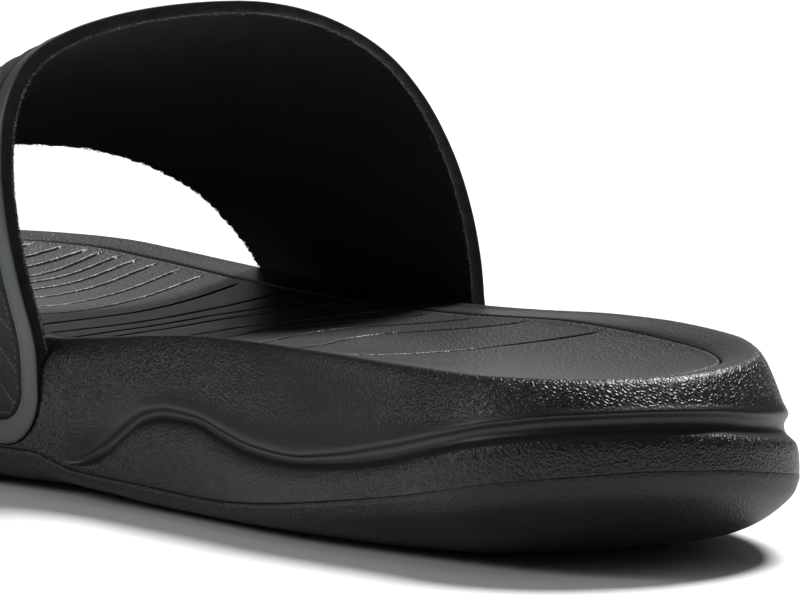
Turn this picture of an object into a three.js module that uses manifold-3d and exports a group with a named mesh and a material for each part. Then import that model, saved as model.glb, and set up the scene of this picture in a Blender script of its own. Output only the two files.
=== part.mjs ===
// Sport slide sandal, right foot. Millimetres, +Z up, toe toward +Y, lateral side toward +X.
import * as THREE from 'three';
import { mergeVertices } from 'three/addons/utils/BufferGeometryUtils.js';
import Module from 'manifold-3d';

const wasm = await Module();
wasm.setup();

// Named sizes of the sole.
const LENGTH = 285;
const HALF_BALL = 50;
const RIM = 36;
const MEET = 0.3;
const OUTSOLE_THICK = 5;
const FOOTBED_THICK = 5;
const FOOTBED_IN = 14;
const TOE_X = -8;

// Named sizes of the strap.
const STRAP_TOP = 88.4;
const STRAP_WALL = 2.0;
const SKIN_WALL = 0.6;
const PROUD = 0.4;
const TRIM_BAND = 4.4;
const STRAP_FOOT = 9.0;
const STRAP_CORNER = 10;
const CROWN = 2.2;

// Steps of the facets.
const AROUND = 96;
const STRAP_ROWS = 26;
const STRAP_COLUMNS = 6;

// Plan of the sole: along is a share of LENGTH, the two sides are shares of HALF_BALL.
const PLAN = [
  { along: 0.028, medial: 0.450, lateral: 0.436 },
  { along: 0.088, medial: 0.684, lateral: 0.676 },
  { along: 0.175, medial: 0.750, lateral: 0.812 },
  { along: 0.281, medial: 0.788, lateral: 0.860 },
  { along: 0.386, medial: 0.768, lateral: 0.864 },
  { along: 0.491, medial: 0.780, lateral: 0.884 },
  { along: 0.596, medial: 0.840, lateral: 0.936 },
  { along: 0.702, medial: 0.950, lateral: 0.980 },
  { along: 0.807, medial: 1.000, lateral: 0.996 },
  { along: 0.895, medial: 0.900, lateral: 0.892 },
  { along: 0.965, medial: 0.600, lateral: 0.544 },
];

// Side of the sole: way runs from the heel's back (0) to the toe tip, -1 round the medial
// side and +1 round the lateral side. The heights are shares of RIM, inset is the crest's, in mm,
// and carve is the depth of the wave channel in mm.
const SIDE = [
  { way: -1.000, joint: 0.490, lip: 0.62, ridge: 0.75, crest: 1.010, bed: 0.967, inset: 7.0, carve: 0 },
  { way: -0.880, joint: 0.390, lip: 0.55, ridge: 0.70, crest: 0.975, bed: 0.940, inset: 6.5, carve: 0 },
  { way: -0.790, joint: 0.278, lip: 0.45, ridge: 0.62, crest: 0.905, bed: 0.870, inset: 6.0, carve: 0 },
  { way: -0.740, joint: 0.232, lip: 0.42, ridge: 0.59, crest: 0.872, bed: 0.840, inset: 5.9, carve: 0 },
  { way: -0.675, joint: 0.220, lip: 0.38, ridge: 0.55, crest: 0.835, bed: 0.800, inset: 5.8, carve: 0 },
  { way: -0.590, joint: 0.220, lip: 0.34, ridge: 0.50, crest: 0.785, bed: 0.765, inset: 5.8, carve: 0 },
  { way: -0.545, joint: 0.222, lip: 0.30, ridge: 0.40, crest: 0.790, bed: 0.770, inset: 5.6, carve: 0 },
  { way: -0.522, joint: 0.185, lip: 0.225, ridge: 0.27, crest: 0.808, bed: 0.787, inset: 5.5, carve: 0 },
  { way: -0.506, joint: 0.160, lip: 0.185, ridge: 0.235, crest: 0.822, bed: 0.800, inset: 5.5, carve: 0.3 },
  { way: -0.482, joint: 0.150, lip: 0.232, ridge: 0.328, crest: 0.845, bed: 0.822, inset: 5.4, carve: 0.7 },
  { way: -0.463, joint: 0.147, lip: 0.335, ridge: 0.433, crest: 0.866, bed: 0.842, inset: 5.4, carve: 0.9 },
  { way: -0.445, joint: 0.145, lip: 0.430, ridge: 0.511, crest: 0.882, bed: 0.856, inset: 5.4, carve: 1.0 },
  { way: -0.420, joint: 0.141, lip: 0.472, ridge: 0.548, crest: 0.902, bed: 0.872, inset: 5.4, carve: 1.0 },
  { way: -0.395, joint: 0.138, lip: 0.474, ridge: 0.540, crest: 0.914, bed: 0.880, inset: 5.6, carve: 1.0 },
  { way: -0.365, joint: 0.142, lip: 0.425, ridge: 0.492, crest: 0.923, bed: 0.886, inset: 5.9, carve: 1.0 },
  { way: -0.335, joint: 0.160, lip: 0.383, ridge: 0.452, crest: 0.929, bed: 0.890, inset: 6.3, carve: 1.05 },
  { way: -0.300, joint: 0.192, lip: 0.372, ridge: 0.438, crest: 0.931, bed: 0.892, inset: 6.6, carve: 1.1 },
  { way: -0.262, joint: 0.238, lip: 0.394, ridge: 0.476, crest: 0.928, bed: 0.890, inset: 7.0, carve: 1.2 },
  { way: -0.215, joint: 0.300, lip: 0.452, ridge: 0.560, crest: 0.922, bed: 0.888, inset: 7.3, carve: 1.3 },
  { way: -0.172, joint: 0.366, lip: 0.545, ridge: 0.648, crest: 0.921, bed: 0.890, inset: 7.5, carve: 1.4 },
  { way: -0.130, joint: 0.436, lip: 0.620, ridge: 0.726, crest: 0.926, bed: 0.895, inset: 7.6, carve: 1.45 },
  { way: -0.085, joint: 0.488, lip: 0.668, ridge: 0.774, crest: 0.930, bed: 0.900, inset: 7.6, carve: 1.45 },
  { way: -0.040, joint: 0.514, lip: 0.680, ridge: 0.788, crest: 0.935, bed: 0.908, inset: 7.6, carve: 1.45 },
  { way: 0.000, joint: 0.502, lip: 0.662, ridge: 0.776, crest: 0.944, bed: 0.918, inset: 7.6, carve: 1.45 },
  { way: 0.035, joint: 0.462, lip: 0.620, ridge: 0.735, crest: 0.955, bed: 0.928, inset: 7.6, carve: 1.45 },
  { way: 0.075, joint: 0.412, lip: 0.570, ridge: 0.695, crest: 0.970, bed: 0.935, inset: 7.6, carve: 1.45 },
  { way: 0.120, joint: 0.365, lip: 0.520, ridge: 0.640, crest: 0.985, bed: 0.938, inset: 7.5, carve: 1.4 },
  { way: 0.165, joint: 0.318, lip: 0.465, ridge: 0.570, crest: 0.995, bed: 0.940, inset: 7.3, carve: 1.3 },
  { way: 0.210, joint: 0.265, lip: 0.410, ridge: 0.495, crest: 0.994, bed: 0.942, inset: 7.0, carve: 1.2 },
  { way: 0.245, joint: 0.220, lip: 0.380, ridge: 0.450, crest: 0.991, bed: 0.945, inset: 6.6, carve: 1.1 },
  { way: 0.280, joint: 0.182, lip: 0.395, ridge: 0.460, crest: 0.982, bed: 0.947, inset: 6.2, carve: 1.0 },
  { way: 0.315, joint: 0.158, lip: 0.455, ridge: 0.522, crest: 0.968, bed: 0.943, inset: 5.8, carve: 1.0 },
  { way: 0.345, joint: 0.147, lip: 0.473, ridge: 0.545, crest: 0.950, bed: 0.930, inset: 5.5, carve: 1.0 },
  { way: 0.370, joint: 0.145, lip: 0.420, ridge: 0.505, crest: 0.935, bed: 0.915, inset: 5.5, carve: 0.9 },
  { way: 0.395, joint: 0.150, lip: 0.240, ridge: 0.330, crest: 0.922, bed: 0.900, inset: 5.5, carve: 0.6 },
  { way: 0.418, joint: 0.170, lip: 0.200, ridge: 0.245, crest: 0.912, bed: 0.890, inset: 5.6, carve: 0.2 },
  { way: 0.445, joint: 0.205, lip: 0.26, ridge: 0.34, crest: 0.902, bed: 0.880, inset: 5.8, carve: 0 },
  { way: 0.490, joint: 0.220, lip: 0.33, ridge: 0.48, crest: 0.892, bed: 0.868, inset: 6.0, carve: 0 },
  { way: 0.560, joint: 0.220, lip: 0.36, ridge: 0.53, crest: 0.886, bed: 0.856, inset: 6.0, carve: 0 },
  { way: 0.640, joint: 0.224, lip: 0.38, ridge: 0.55, crest: 0.888, bed: 0.858, inset: 6.0, carve: 0 },
  { way: 0.710, joint: 0.230, lip: 0.41, ridge: 0.58, crest: 0.900, bed: 0.875, inset: 6.0, carve: 0 },
  { way: 0.755, joint: 0.272, lip: 0.44, ridge: 0.61, crest: 0.922, bed: 0.895, inset: 6.2, carve: 0 },
  { way: 0.800, joint: 0.325, lip: 0.48, ridge: 0.65, crest: 0.950, bed: 0.920, inset: 6.5, carve: 0 },
  { way: 0.880, joint: 0.395, lip: 0.55, ridge: 0.70, crest: 0.982, bed: 0.950, inset: 7.0, carve: 0 },
  { way: 1.000, joint: 0.490, lip: 0.62, ridge: 0.75, crest: 1.010, bed: 0.967, inset: 7.0, carve: 0 },
];

// Lengthwise sections: bottom is the underside and dish the footbed's middle, shares of RIM.
const LONG = [
  { along: 0.000, bottom: 0.200, dish: 0.850 },
  { along: 0.028, bottom: 0.140, dish: 0.845 },
  { along: 0.053, bottom: 0.106, dish: 0.842 },
  { along: 0.081, bottom: 0.080, dish: 0.838 },
  { along: 0.123, bottom: 0.042, dish: 0.832 },
  { along: 0.170, bottom: 0.012, dish: 0.828 },
  { along: 0.205, bottom: 0.000, dish: 0.826 },
  { along: 0.320, bottom: 0.000, dish: 0.826 },
  { along: 0.450, bottom: 0.000, dish: 0.812 },
  { along: 0.500, bottom: 0.016, dish: 0.795 },
  { along: 0.550, bottom: 0.016, dish: 0.775 },
  { along: 0.600, bottom: 0.000, dish: 0.762 },
  { along: 0.745, bottom: 0.000, dish: 0.775 },
  { along: 0.825, bottom: 0.044, dish: 0.820 },
  { along: 0.895, bottom: 0.125, dish: 0.870 },
  { along: 0.950, bottom: 0.225, dish: 0.905 },
  { along: 1.000, bottom: 0.345, dish: 0.930 },
];

// Strap, from its medial foot over the top to its lateral foot, at its rear and its front edge.
// x is a share of HALF_BALL, z a share of STRAP_TOP and y a share of LENGTH.
const STRAP = [
  { rearX: -0.806, rearZ: 0.057, rearY: 0.5455, frontX: -1.008, frontZ: 0.085, frontY: 0.8035 },
  { rearX: -0.810, rearZ: 0.226, rearY: 0.5455, frontX: -1.012, frontZ: 0.215, frontY: 0.8035 },
  { rearX: -0.826, rearZ: 0.339, rearY: 0.5480, frontX: -1.016, frontZ: 0.322, frontY: 0.8000 },
  { rearX: -0.850, rearZ: 0.452, rearY: 0.5555, frontX: -1.004, frontZ: 0.407, frontY: 0.7950 },
  { rearX: -0.862, rearZ: 0.566, rearY: 0.5650, frontX: -0.960, frontZ: 0.481, frontY: 0.7895 },
  { rearX: -0.850, rearZ: 0.679, rearY: 0.5740, frontX: -0.886, frontZ: 0.543, frontY: 0.7830 },
  { rearX: -0.804, rearZ: 0.792, rearY: 0.5815, frontX: -0.780, frontZ: 0.594, frontY: 0.7770 },
  { rearX: -0.704, rearZ: 0.885, rearY: 0.5850, frontX: -0.640, frontZ: 0.634, frontY: 0.7715 },
  { rearX: -0.540, rearZ: 0.949, rearY: 0.5825, frontX: -0.480, frontZ: 0.664, frontY: 0.7640 },
  { rearX: -0.300, rearZ: 0.988, rearY: 0.5760, frontX: -0.280, frontZ: 0.682, frontY: 0.7560 },
  { rearX: -0.020, rearZ: 1.000, rearY: 0.5655, frontX: -0.060, frontZ: 0.682, frontY: 0.7475 },
  { rearX: 0.240, rearZ: 0.989, rearY: 0.5510, frontX: 0.160, frontZ: 0.665, frontY: 0.7405 },
  { rearX: 0.460, rearZ: 0.950, rearY: 0.5365, frontX: 0.350, frontZ: 0.633, frontY: 0.7350 },
  { rearX: 0.640, rearZ: 0.882, rearY: 0.5210, frontX: 0.510, frontZ: 0.592, frontY: 0.7315 },
  { rearX: 0.760, rearZ: 0.792, rearY: 0.5070, frontX: 0.650, frontZ: 0.541, frontY: 0.7300 },
  { rearX: 0.832, rearZ: 0.679, rearY: 0.4925, frontX: 0.760, frontZ: 0.486, frontY: 0.7300 },
  { rearX: 0.866, rearZ: 0.566, rearY: 0.4805, frontX: 0.850, frontZ: 0.432, frontY: 0.7300 },
  { rearX: 0.876, rearZ: 0.452, rearY: 0.4710, frontX: 0.920, frontZ: 0.379, frontY: 0.7310 },
  { rearX: 0.872, rearZ: 0.339, rearY: 0.4650, frontX: 0.972, frontZ: 0.322, frontY: 0.7320 },
  { rearX: 0.886, rearZ: 0.226, rearY: 0.4632, frontX: 0.996, frontZ: 0.215, frontY: 0.7320 },
  { rearX: 0.886, rearZ: 0.057, rearY: 0.4632, frontX: 0.996, frontZ: 0.072, frontY: 0.7320 },
];

// Grooves across the underside: along is a share of LENGTH.
const TREAD = [0.25, 0.30, 0.35, 0.40, 0.64, 0.69, 0.74, 0.79];
const TREAD_WIDE = 3;
const TREAD_DEEP = 1.4;

const mix = (a, b, t) => a + (b - a) * t;
const clamp = (v, low, high) => Math.min(high, Math.max(low, v));
const smooth = (low, high, v) => {
  const t = clamp((v - low) / (high - low), 0, 1);
  return t * t * (3 - 2 * t);
};

// Monotone cubic through the rows of a table, so that a curve never passes its own rows.
function column(rows, at, name) {
  const n = rows.length;
  const x = rows.map((r) => r[at]);
  const y = rows.map((r) => r[name]);
  const d = [];
  for (let i = 0; i < n - 1; i += 1) d.push((y[i + 1] - y[i]) / (x[i + 1] - x[i]));
  const m = [d[0]];
  for (let i = 1; i < n - 1; i += 1) {
    const both = d[i - 1] * d[i];
    m.push(both <= 0 ? 0 : (2 * both) / (d[i - 1] + d[i]));
  }
  m.push(d[n - 2]);
  return (v) => {
    const q = clamp(v, x[0], x[n - 1]);
    let i = 0;
    while (i < n - 2 && q > x[i + 1]) i += 1;
    const h = x[i + 1] - x[i];
    const t = (q - x[i]) / h;
    const a = y[i] + (y[i + 1] - y[i]) * t * t * (3 - 2 * t);
    return a + h * t * (1 - t) * (m[i] * (1 - t) - m[i + 1] * t);
  };
}

// Closed plan curve, from the heel's back round the lateral side to the toe and back.
const planPoints = [new THREE.Vector3(0, 0, 0)];
for (const r of PLAN) planPoints.push(new THREE.Vector3(r.lateral * HALF_BALL, r.along * LENGTH, 0));
planPoints.push(new THREE.Vector3(TOE_X, LENGTH, 0));
for (const r of [...PLAN].reverse()) {
  planPoints.push(new THREE.Vector3(-r.medial * HALF_BALL, r.along * LENGTH, 0));
}
const planCurve = new THREE.CatmullRomCurve3(planPoints, true, 'centripetal');
const FINE = 1600;
const fine = planCurve.getPoints(FINE);
const run = [0];
for (let i = 1; i <= FINE; i += 1) run.push(run[i - 1] + fine[i].distanceTo(fine[i - 1]));
const toeStep = fine.findIndex((p) => p.distanceTo(planPoints[PLAN.length + 1]) < 0.5);
const lateralRun = run[toeStep];
const medialRun = run[FINE] - lateralRun;

function atRun(s) {
  const total = run[FINE];
  const q = ((s % total) + total) % total;
  let low = 0;
  let high = FINE;
  while (high - low > 1) {
    const middle = (low + high) >> 1;
    if (run[middle] <= q) low = middle;
    else high = middle;
  }
  const t = (q - run[low]) / (run[high] - run[low]);
  return [mix(fine[low].x, fine[high].x, t), mix(fine[low].y, fine[high].y, t)];
}

// Point and outward normal of the plan at a way from -1 to 1.
function plan(way) {
  const s = way >= 0 ? way * lateralRun : way * medialRun;
  const p = atRun(s);
  const a = atRun(s - 1.5);
  const b = atRun(s + 1.5);
  const l = Math.hypot(b[0] - a[0], b[1] - a[1]);
  return { x: p[0], y: p[1], nx: (b[1] - a[1]) / l, ny: -(b[0] - a[0]) / l };
}

// Half-width of the plan on one side at a distance from the heel.
function searchWidth(side, y) {
  const from = side > 0 ? 1 : toeStep + 1;
  const to = side > 0 ? toeStep : FINE;
  for (let i = from; i <= to; i += 1) {
    const a = fine[i - 1];
    const b = fine[i];
    if ((a.y - y) * (b.y - y) <= 0 && a.y !== b.y) return side * mix(a.x, b.x, (y - a.y) / (b.y - a.y));
  }
  return 0;
}
const widths = { 1: [], '-1': [] };
for (let y = 0; y <= LENGTH; y += 1) {
  widths[1].push(searchWidth(1, y));
  widths[-1].push(searchWidth(-1, y));
}
function halfWidth(side, y) {
  const low = clamp(Math.floor(y), 0, LENGTH - 1);
  return mix(widths[side][low], widths[side][low + 1], y - low);
}

const sideOf = {};
for (const name of ['joint', 'lip', 'ridge', 'crest', 'bed', 'inset', 'carve']) {
  sideOf[name] = column(SIDE, 'way', name);
}
const bottomOf = column(LONG, 'along', 'bottom');
const dishOf = column(LONG, 'along', 'dish');
const bottomAt = (y) => RIM * bottomOf(clamp(y / LENGTH, 0, 1));
const dishAt = (y) => RIM * dishOf(clamp(y / LENGTH, 0, 1));

// Stations around the sole: the two sides are paired, so that both share one spine.
const stations = [];
for (let i = 0; i < AROUND; i += 1) {
  const t = i / AROUND;
  const way = t <= 0.5 ? 2 * t : 2 * t - 2;
  const other = plan(-way);
  const p = plan(way);
  const middleY = clamp((p.y + other.y) / 2, 42, LENGTH - 44);
  const spineX = (halfWidth(1, middleY) - halfWidth(-1, middleY)) / 2;
  const s = { ...p, way, spineX, spineY: middleY };
  for (const name of ['joint', 'lip', 'ridge', 'crest', 'bed']) s[name] = RIM * sideOf[name](way);
  s.inset = sideOf.inset(way);
  s.carve = sideOf.carve(way);
  stations.push(s);
}

// A ring is a list of points, one per station, at an inset and a height.
const ring = (inset, height) => stations.map((s) => {
  const d = typeof inset === 'function' ? inset(s) : inset;
  const x = s.x - s.nx * d;
  const y = s.y - s.ny * d;
  return [x, y, height(s, y)];
});
// A ring that has moved a share of the way from an inset to the spine.
const inward = (inset, share, height) => stations.map((s) => {
  const x = mix(s.x - s.nx * inset, s.spineX, share);
  const y = mix(s.y - s.ny * inset, s.spineY, share);
  return [x, y, height(s, y, share)];
});

// Closed skin through a list of rings. Its first and last ring lie on the spine.
function stack(rings) {
  const n = rings[0].length;
  const faces = [];
  for (let k = 0; k + 1 < rings.length; k += 1) {
    for (let i = 0; i < n; i += 1) {
      const j = (i + 1) % n;
      faces.push([rings[k][i], rings[k][j], rings[k + 1][j]]);
      faces.push([rings[k][i], rings[k + 1][j], rings[k + 1][i]]);
    }
  }
  return faces;
}

// Grid shell between an outer and an inner sheet of points.
function shell(outer, inner) {
  const rows = outer.length;
  const cols = outer[0].length;
  const faces = [];
  const quad = (a, b, c, d) => faces.push([a, b, c], [a, c, d]);
  for (let i = 0; i + 1 < rows; i += 1) {
    for (let j = 0; j + 1 < cols; j += 1) {
      quad(outer[i][j], outer[i + 1][j], outer[i + 1][j + 1], outer[i][j + 1]);
      quad(inner[i][j], inner[i][j + 1], inner[i + 1][j + 1], inner[i + 1][j]);
    }
    quad(outer[i][0], inner[i][0], inner[i + 1][0], outer[i + 1][0]);
    quad(outer[i][cols - 1], outer[i + 1][cols - 1], inner[i + 1][cols - 1], inner[i][cols - 1]);
  }
  for (let j = 0; j + 1 < cols; j += 1) {
    quad(outer[0][j], outer[0][j + 1], inner[0][j + 1], inner[0][j]);
    quad(outer[rows - 1][j], inner[rows - 1][j], inner[rows - 1][j + 1], outer[rows - 1][j + 1]);
  }
  return faces;
}

// Points of a list of triangles, turned outward, without the ones that have no area.
function toGeometry(faces) {
  const key = (p) => p.map((v) => v.toFixed(4)).join();
  const kept = faces.filter(([a, b, c]) => key(a) !== key(b) && key(b) !== key(c) && key(a) !== key(c));
  let volume = 0;
  for (const [a, b, c] of kept) {
    volume += a[0] * (b[1] * c[2] - b[2] * c[1]);
    volume -= a[1] * (b[0] * c[2] - b[2] * c[0]);
    volume += a[2] * (b[0] * c[1] - b[1] * c[0]);
  }
  const list = [];
  for (const [a, b, c] of kept) list.push(...a, ...(volume < 0 ? c : b), ...(volume < 0 ? b : c));
  const g = new THREE.BufferGeometry();
  g.setAttribute('position', new THREE.Float32BufferAttribute(list, 3));
  return mergeVertices(g, 1e-4);
}

function toManifold(geometry) {
  const g = geometry.clone();
  g.deleteAttribute('normal');
  g.deleteAttribute('uv');
  const merged = mergeVertices(g, 1e-4);
  const mesh = new wasm.Mesh({
    numProp: 3,
    vertProperties: new Float32Array(merged.attributes.position.array),
    triVerts: new Uint32Array(merged.index.array),
  });
  mesh.merge();
  return new wasm.Manifold(mesh);
}

function fromManifold(solid) {
  const mesh = solid.getMesh();
  const g = new THREE.BufferGeometry();
  g.setAttribute('position', new THREE.BufferAttribute(Float32Array.from(mesh.vertProperties), 3));
  g.setIndex(new THREE.BufferAttribute(Uint32Array.from(mesh.triVerts), 1));
  return g;
}

// Height of the footbed's top, from its edge to the spine.
const bedHeight = (s, y, share) => mix(s.bed, dishAt(y), 1 - (1 - share) ** 2);

// Outsole: cup with a flat underside, a rounded edge and an inner floor.
function outsole() {
  const lift = (share) => (s, y) => mix(s.joint, bottomAt(y), share);
  const floor = (s, y) => bottomAt(y) + OUTSOLE_THICK;
  return stack([
    inward(9, 1, floor),
    inward(9, 0.4, floor),
    ring(9, floor),
    ring(6.5, floor),
    ring(2.8, (s) => Math.max(s.joint - MEET / 2, 3)),
    ring(0.45, (s) => s.joint - MEET / 2),
    ring(0.0, (s) => s.joint - 0.9),
    ring(0.35, lift(0.3)),
    ring(1.6, lift(0.55)),
    ring(3.6, lift(0.78)),
    ring(5.8, lift(0.93)),
    ring(8.5, (s, y) => bottomAt(y)),
    inward(8.5, 0.35, (s, y) => bottomAt(y)),
    inward(8.5, 1, (s, y) => bottomAt(y)),
  ]);
}

// Midsole: side wall with the channel, rim and the seat of the footbed.
function midsole() {
  const under = (s, y) => bottomAt(y) + OUTSOLE_THICK + MEET;
  const groove = (share) => (s) => mix(s.lip, s.ridge, share);
  const above = (share) => (s) => mix(s.ridge, s.crest, share);
  const lean = (s, share) => s.inset * share;
  const seat = (s, y, share) => bedHeight(s, y, share) - FOOTBED_THICK - MEET;
  return stack([
    inward(9, 1, under),
    inward(9, 0.4, under),
    ring(9.2, under),
    ring(6.8, under),
    ring(3.1, (s) => s.joint + MEET / 2),
    ring(0.45, (s) => s.joint + MEET / 2),
    ring(0.0, (s) => s.joint + 0.9),
    ring((s) => 0.15 * s.carve, (s) => mix(s.joint + 0.9, s.lip, 0.6)),
    ring((s) => 0.35 + 0.45 * s.carve, groove(0)),
    ring((s) => 0.6 + 1.25 * s.carve, groove(0.3)),
    ring((s) => 0.75 + 1.2 * s.carve, groove(0.72)),
    ring((s) => 0.9 + 0.75 * s.carve, groove(1)),
    ring((s) => mix(0.9 + 0.75 * s.carve, lean(s, 0.5), 0.6), above(0.45)),
    ring((s) => lean(s, 0.52), above(0.8)),
    ring((s) => lean(s, 0.76), above(0.95)),
    ring((s) => s.inset, above(1)),
    ring((s) => s.inset + 2.4, above(0.97)),
    ring(FOOTBED_IN - 1.2, (s) => mix(s.bed, s.crest, 0.3)),
    ring(FOOTBED_IN, (s) => s.bed),
    ring(FOOTBED_IN, (s, y) => seat(s, y, 0)),
    inward(FOOTBED_IN, 0.5, seat),
    inward(FOOTBED_IN, 1, seat),
  ]);
}

// Footbed: an even layer that fills the seat.
function footbed() {
  const edge = FOOTBED_IN + MEET;
  const low = (s, y, share) => bedHeight(s, y, share) - FOOTBED_THICK;
  return stack([
    inward(edge, 1, low),
    inward(edge, 0.5, low),
    ring(edge, (s, y) => low(s, y, 0)),
    ring(edge, (s) => s.bed - 0.4),
    ring(edge + 0.7, (s) => s.bed),
    inward(edge, 0.25, bedHeight),
    inward(edge, 0.5, bedHeight),
    inward(edge, 0.75, bedHeight),
    inward(edge, 1, bedHeight),
  ]);
}

// Strap surface: u runs along the band and v from its rear to its front edge.
const strapRows = STRAP.map((r, i) => ({ ...r, at: i / (STRAP.length - 1) }));
const rows = {};
for (const name of ['rearX', 'rearY', 'rearZ', 'frontX', 'frontY', 'frontZ']) {
  const values = strapRows.map((r) => new THREE.Vector3(r[name], 0, 0));
  rows[name] = new THREE.CatmullRomCurve3(values, false, 'catmullrom', 0.5);
}
const strapValue = (name, u) => rows[name].getPoint(clamp(u, 0, 1)).x;

function strapPoint(u, v) {
  let x = mix(strapValue('rearX', u), strapValue('frontX', u), v) * HALF_BALL;
  const y = mix(strapValue('rearY', u), strapValue('frontY', u), v) * LENGTH;
  const z = mix(strapValue('rearZ', u), strapValue('frontZ', u), v) * STRAP_TOP;
  const side = u < 0.5 ? -1 : 1;
  const onWall = 1 - smooth(RIM * 0.6, RIM * 0.95, z);
  if (onWall > 0) x = mix(x, side * (halfWidth(side, y) + PROUD), onWall);
  return new THREE.Vector3(x, y, z);
}

function strapNormal(u, v) {
  const e = 0.004;
  const a = strapPoint(u + e, v).sub(strapPoint(u - e, v));
  const b = strapPoint(u, v + e).sub(strapPoint(u, v - e));
  return a.cross(b).normalize();
}

// Point at a depth under the outer face, with the band's soft crown.
function strapAt(u, v, depth) {
  const p = strapPoint(u, v);
  const n = strapNormal(clamp(u, 0.005, 0.995), v);
  const crown = CROWN * Math.sin(Math.PI * clamp(v, 0, 1)) * smooth(RIM * 0.95, STRAP_TOP * 0.62, p.z);
  p.addScaledVector(n, crown - depth);
  return [p.x, p.y, p.z];
}

const firstRise = STRAP[1].rearZ - STRAP[0].rearZ;
const footU = (STRAP_FOOT / STRAP_TOP - STRAP[0].rearZ) / firstRise / (STRAP.length - 1);
const uPerMm = 1 / (STRAP.length - 1) / (firstRise * STRAP_TOP);
const medialWide = (STRAP[1].frontY - STRAP[1].rearY) * LENGTH;
const lateralWide = (STRAP[19].frontY - STRAP[19].rearY) * LENGTH;

// Sheet of the band, set in from its edges, with round lower corners.
function strapSheet(setIn, corner, depth, low, high, count) {
  const sheet = [];
  const start = low + setIn * uPerMm;
  const end = high - setIn * uPerMm;
  const arc = [0, 0.08, 0.3, 0.6, 1];
  const list = [];
  for (const a of arc) list.push(start + a * corner * uPerMm);
  const from = start + corner * uPerMm;
  const to = end - corner * uPerMm;
  for (let i = 1; i < count; i += 1) list.push(mix(from, to, i / count));
  for (const a of [...arc].reverse()) list.push(end - a * corner * uPerMm);
  for (const u of list) {
    const wide = u < 0.5 ? medialWide : lateralWide;
    const near = Math.min(u - start, end - u) / uPerMm;
    const gone = near < corner ? corner - Math.sqrt(Math.max(0, corner ** 2 - (corner - near) ** 2)) : 0;
    const v0 = (setIn + gone) / wide;
    const line = [];
    for (let j = 0; j <= STRAP_COLUMNS; j += 1) {
      line.push(strapAt(u, mix(v0, 1 - v0, j / STRAP_COLUMNS), depth));
    }
    sheet.push(line);
  }
  return sheet;
}

function band(setIn, corner, outer, inner, rowsAlong) {
  const high = 1 - footU;
  return shell(
    strapSheet(setIn, corner, outer, footU, high, rowsAlong),
    strapSheet(setIn, corner, inner, footU, high, rowsAlong),
  );
}

// Room that one foot of the strap takes out of the midsole.
function pocket(side) {
  const reach = 0.19;
  const low = side < 0 ? footU : 1 - reach;
  const high = side < 0 ? reach : 1 - footU;
  const depth = SKIN_WALL + MEET + STRAP_WALL + MEET;
  const corner = STRAP_CORNER + MEET;
  return shell(
    strapSheet(-MEET, corner, -4, low, high, 9),
    strapSheet(-MEET, corner, depth, low, high, 9),
  );
}

// Smooth frame round the outside of the strap, cut from the band's own outer layer.
const skin = toManifold(toGeometry(band(0, STRAP_CORNER, 0, SKIN_WALL, STRAP_ROWS)));
const inside = toManifold(toGeometry(band(TRIM_BAND, STRAP_CORNER - 4, -2, 3, STRAP_ROWS)));
const panelTool = toManifold(toGeometry(band(TRIM_BAND + MEET, STRAP_CORNER - 4.3, -2, 3, STRAP_ROWS)));
const panelSkin = toManifold(toGeometry(band(0, STRAP_CORNER, -0.25, SKIN_WALL, STRAP_ROWS)));
const trimSolid = skin.subtract(inside);
const panelSolid = panelSkin.intersect(panelTool);

// Midsole with the two pockets taken out.
let midsoleSolid = toManifold(toGeometry(midsole()));
for (const side of [-1, 1]) midsoleSolid = midsoleSolid.subtract(toManifold(toGeometry(pocket(side))));

// Outsole with its plain tread grooves.
let outsoleSolid = toManifold(toGeometry(outsole()));
for (const along of TREAD) {
  const y = along * LENGTH;
  const left = -halfWidth(-1, y) + 14;
  const right = halfWidth(1, y) - 14;
  const bar = new THREE.BoxGeometry(right - left, TREAD_WIDE, 2 * TREAD_DEEP);
  bar.translate((left + right) / 2, y, bottomAt(y));
  outsoleSolid = outsoleSolid.subtract(toManifold(bar));
}

// Foam of the strap, just under the trim and the panel.
const foamOut = SKIN_WALL + MEET;
const foamBand = band(0, STRAP_CORNER, foamOut, foamOut + STRAP_WALL, STRAP_ROWS);

const material = (color, roughness) => new THREE.MeshStandardMaterial({ color, roughness, metalness: 0 });
const pieces = [
  ['outsole', fromManifold(outsoleSolid), material(0x1d1e1f, 0.62)],
  ['midsole', fromManifold(midsoleSolid), material(0x202224, 0.5)],
  ['footbed', toGeometry(footbed()), material(0x232527, 0.58)],
  ['strap', toGeometry(foamBand), material(0x121213, 0.9)],
  ['strap_trim', fromManifold(trimSolid), material(0x3f4644, 0.42)],
  ['strap_panel', fromManifold(panelSolid), material(0x17181a, 0.82)],
];

// The middle of the bounding box goes to x = 0 and y = 0, and the underside to z = 0.
const box = new THREE.Box3();
for (const [, geometry] of pieces) {
  geometry.computeBoundingBox();
  box.union(geometry.boundingBox);
}
const shoe = new THREE.Group();
shoe.name = 'sport_slide_sandal';
for (const [name, geometry, look] of pieces) {
  geometry.translate(-(box.min.x + box.max.x) / 2, -(box.min.y + box.max.y) / 2, -box.min.z);
  const flat = geometry.index ? geometry.toNonIndexed() : geometry;
  flat.deleteAttribute('normal');
  flat.computeVertexNormals();
  const mesh = new THREE.Mesh(flat, look);
  mesh.name = name;
  shoe.add(mesh);
}

export default shoe;
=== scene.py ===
import math

import bmesh
import bpy
import numpy as np
from mathutils import Matrix, Vector
from mathutils.bvhtree import BVHTree
from mathutils.geometry import delaunay_2d_cdt


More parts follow.
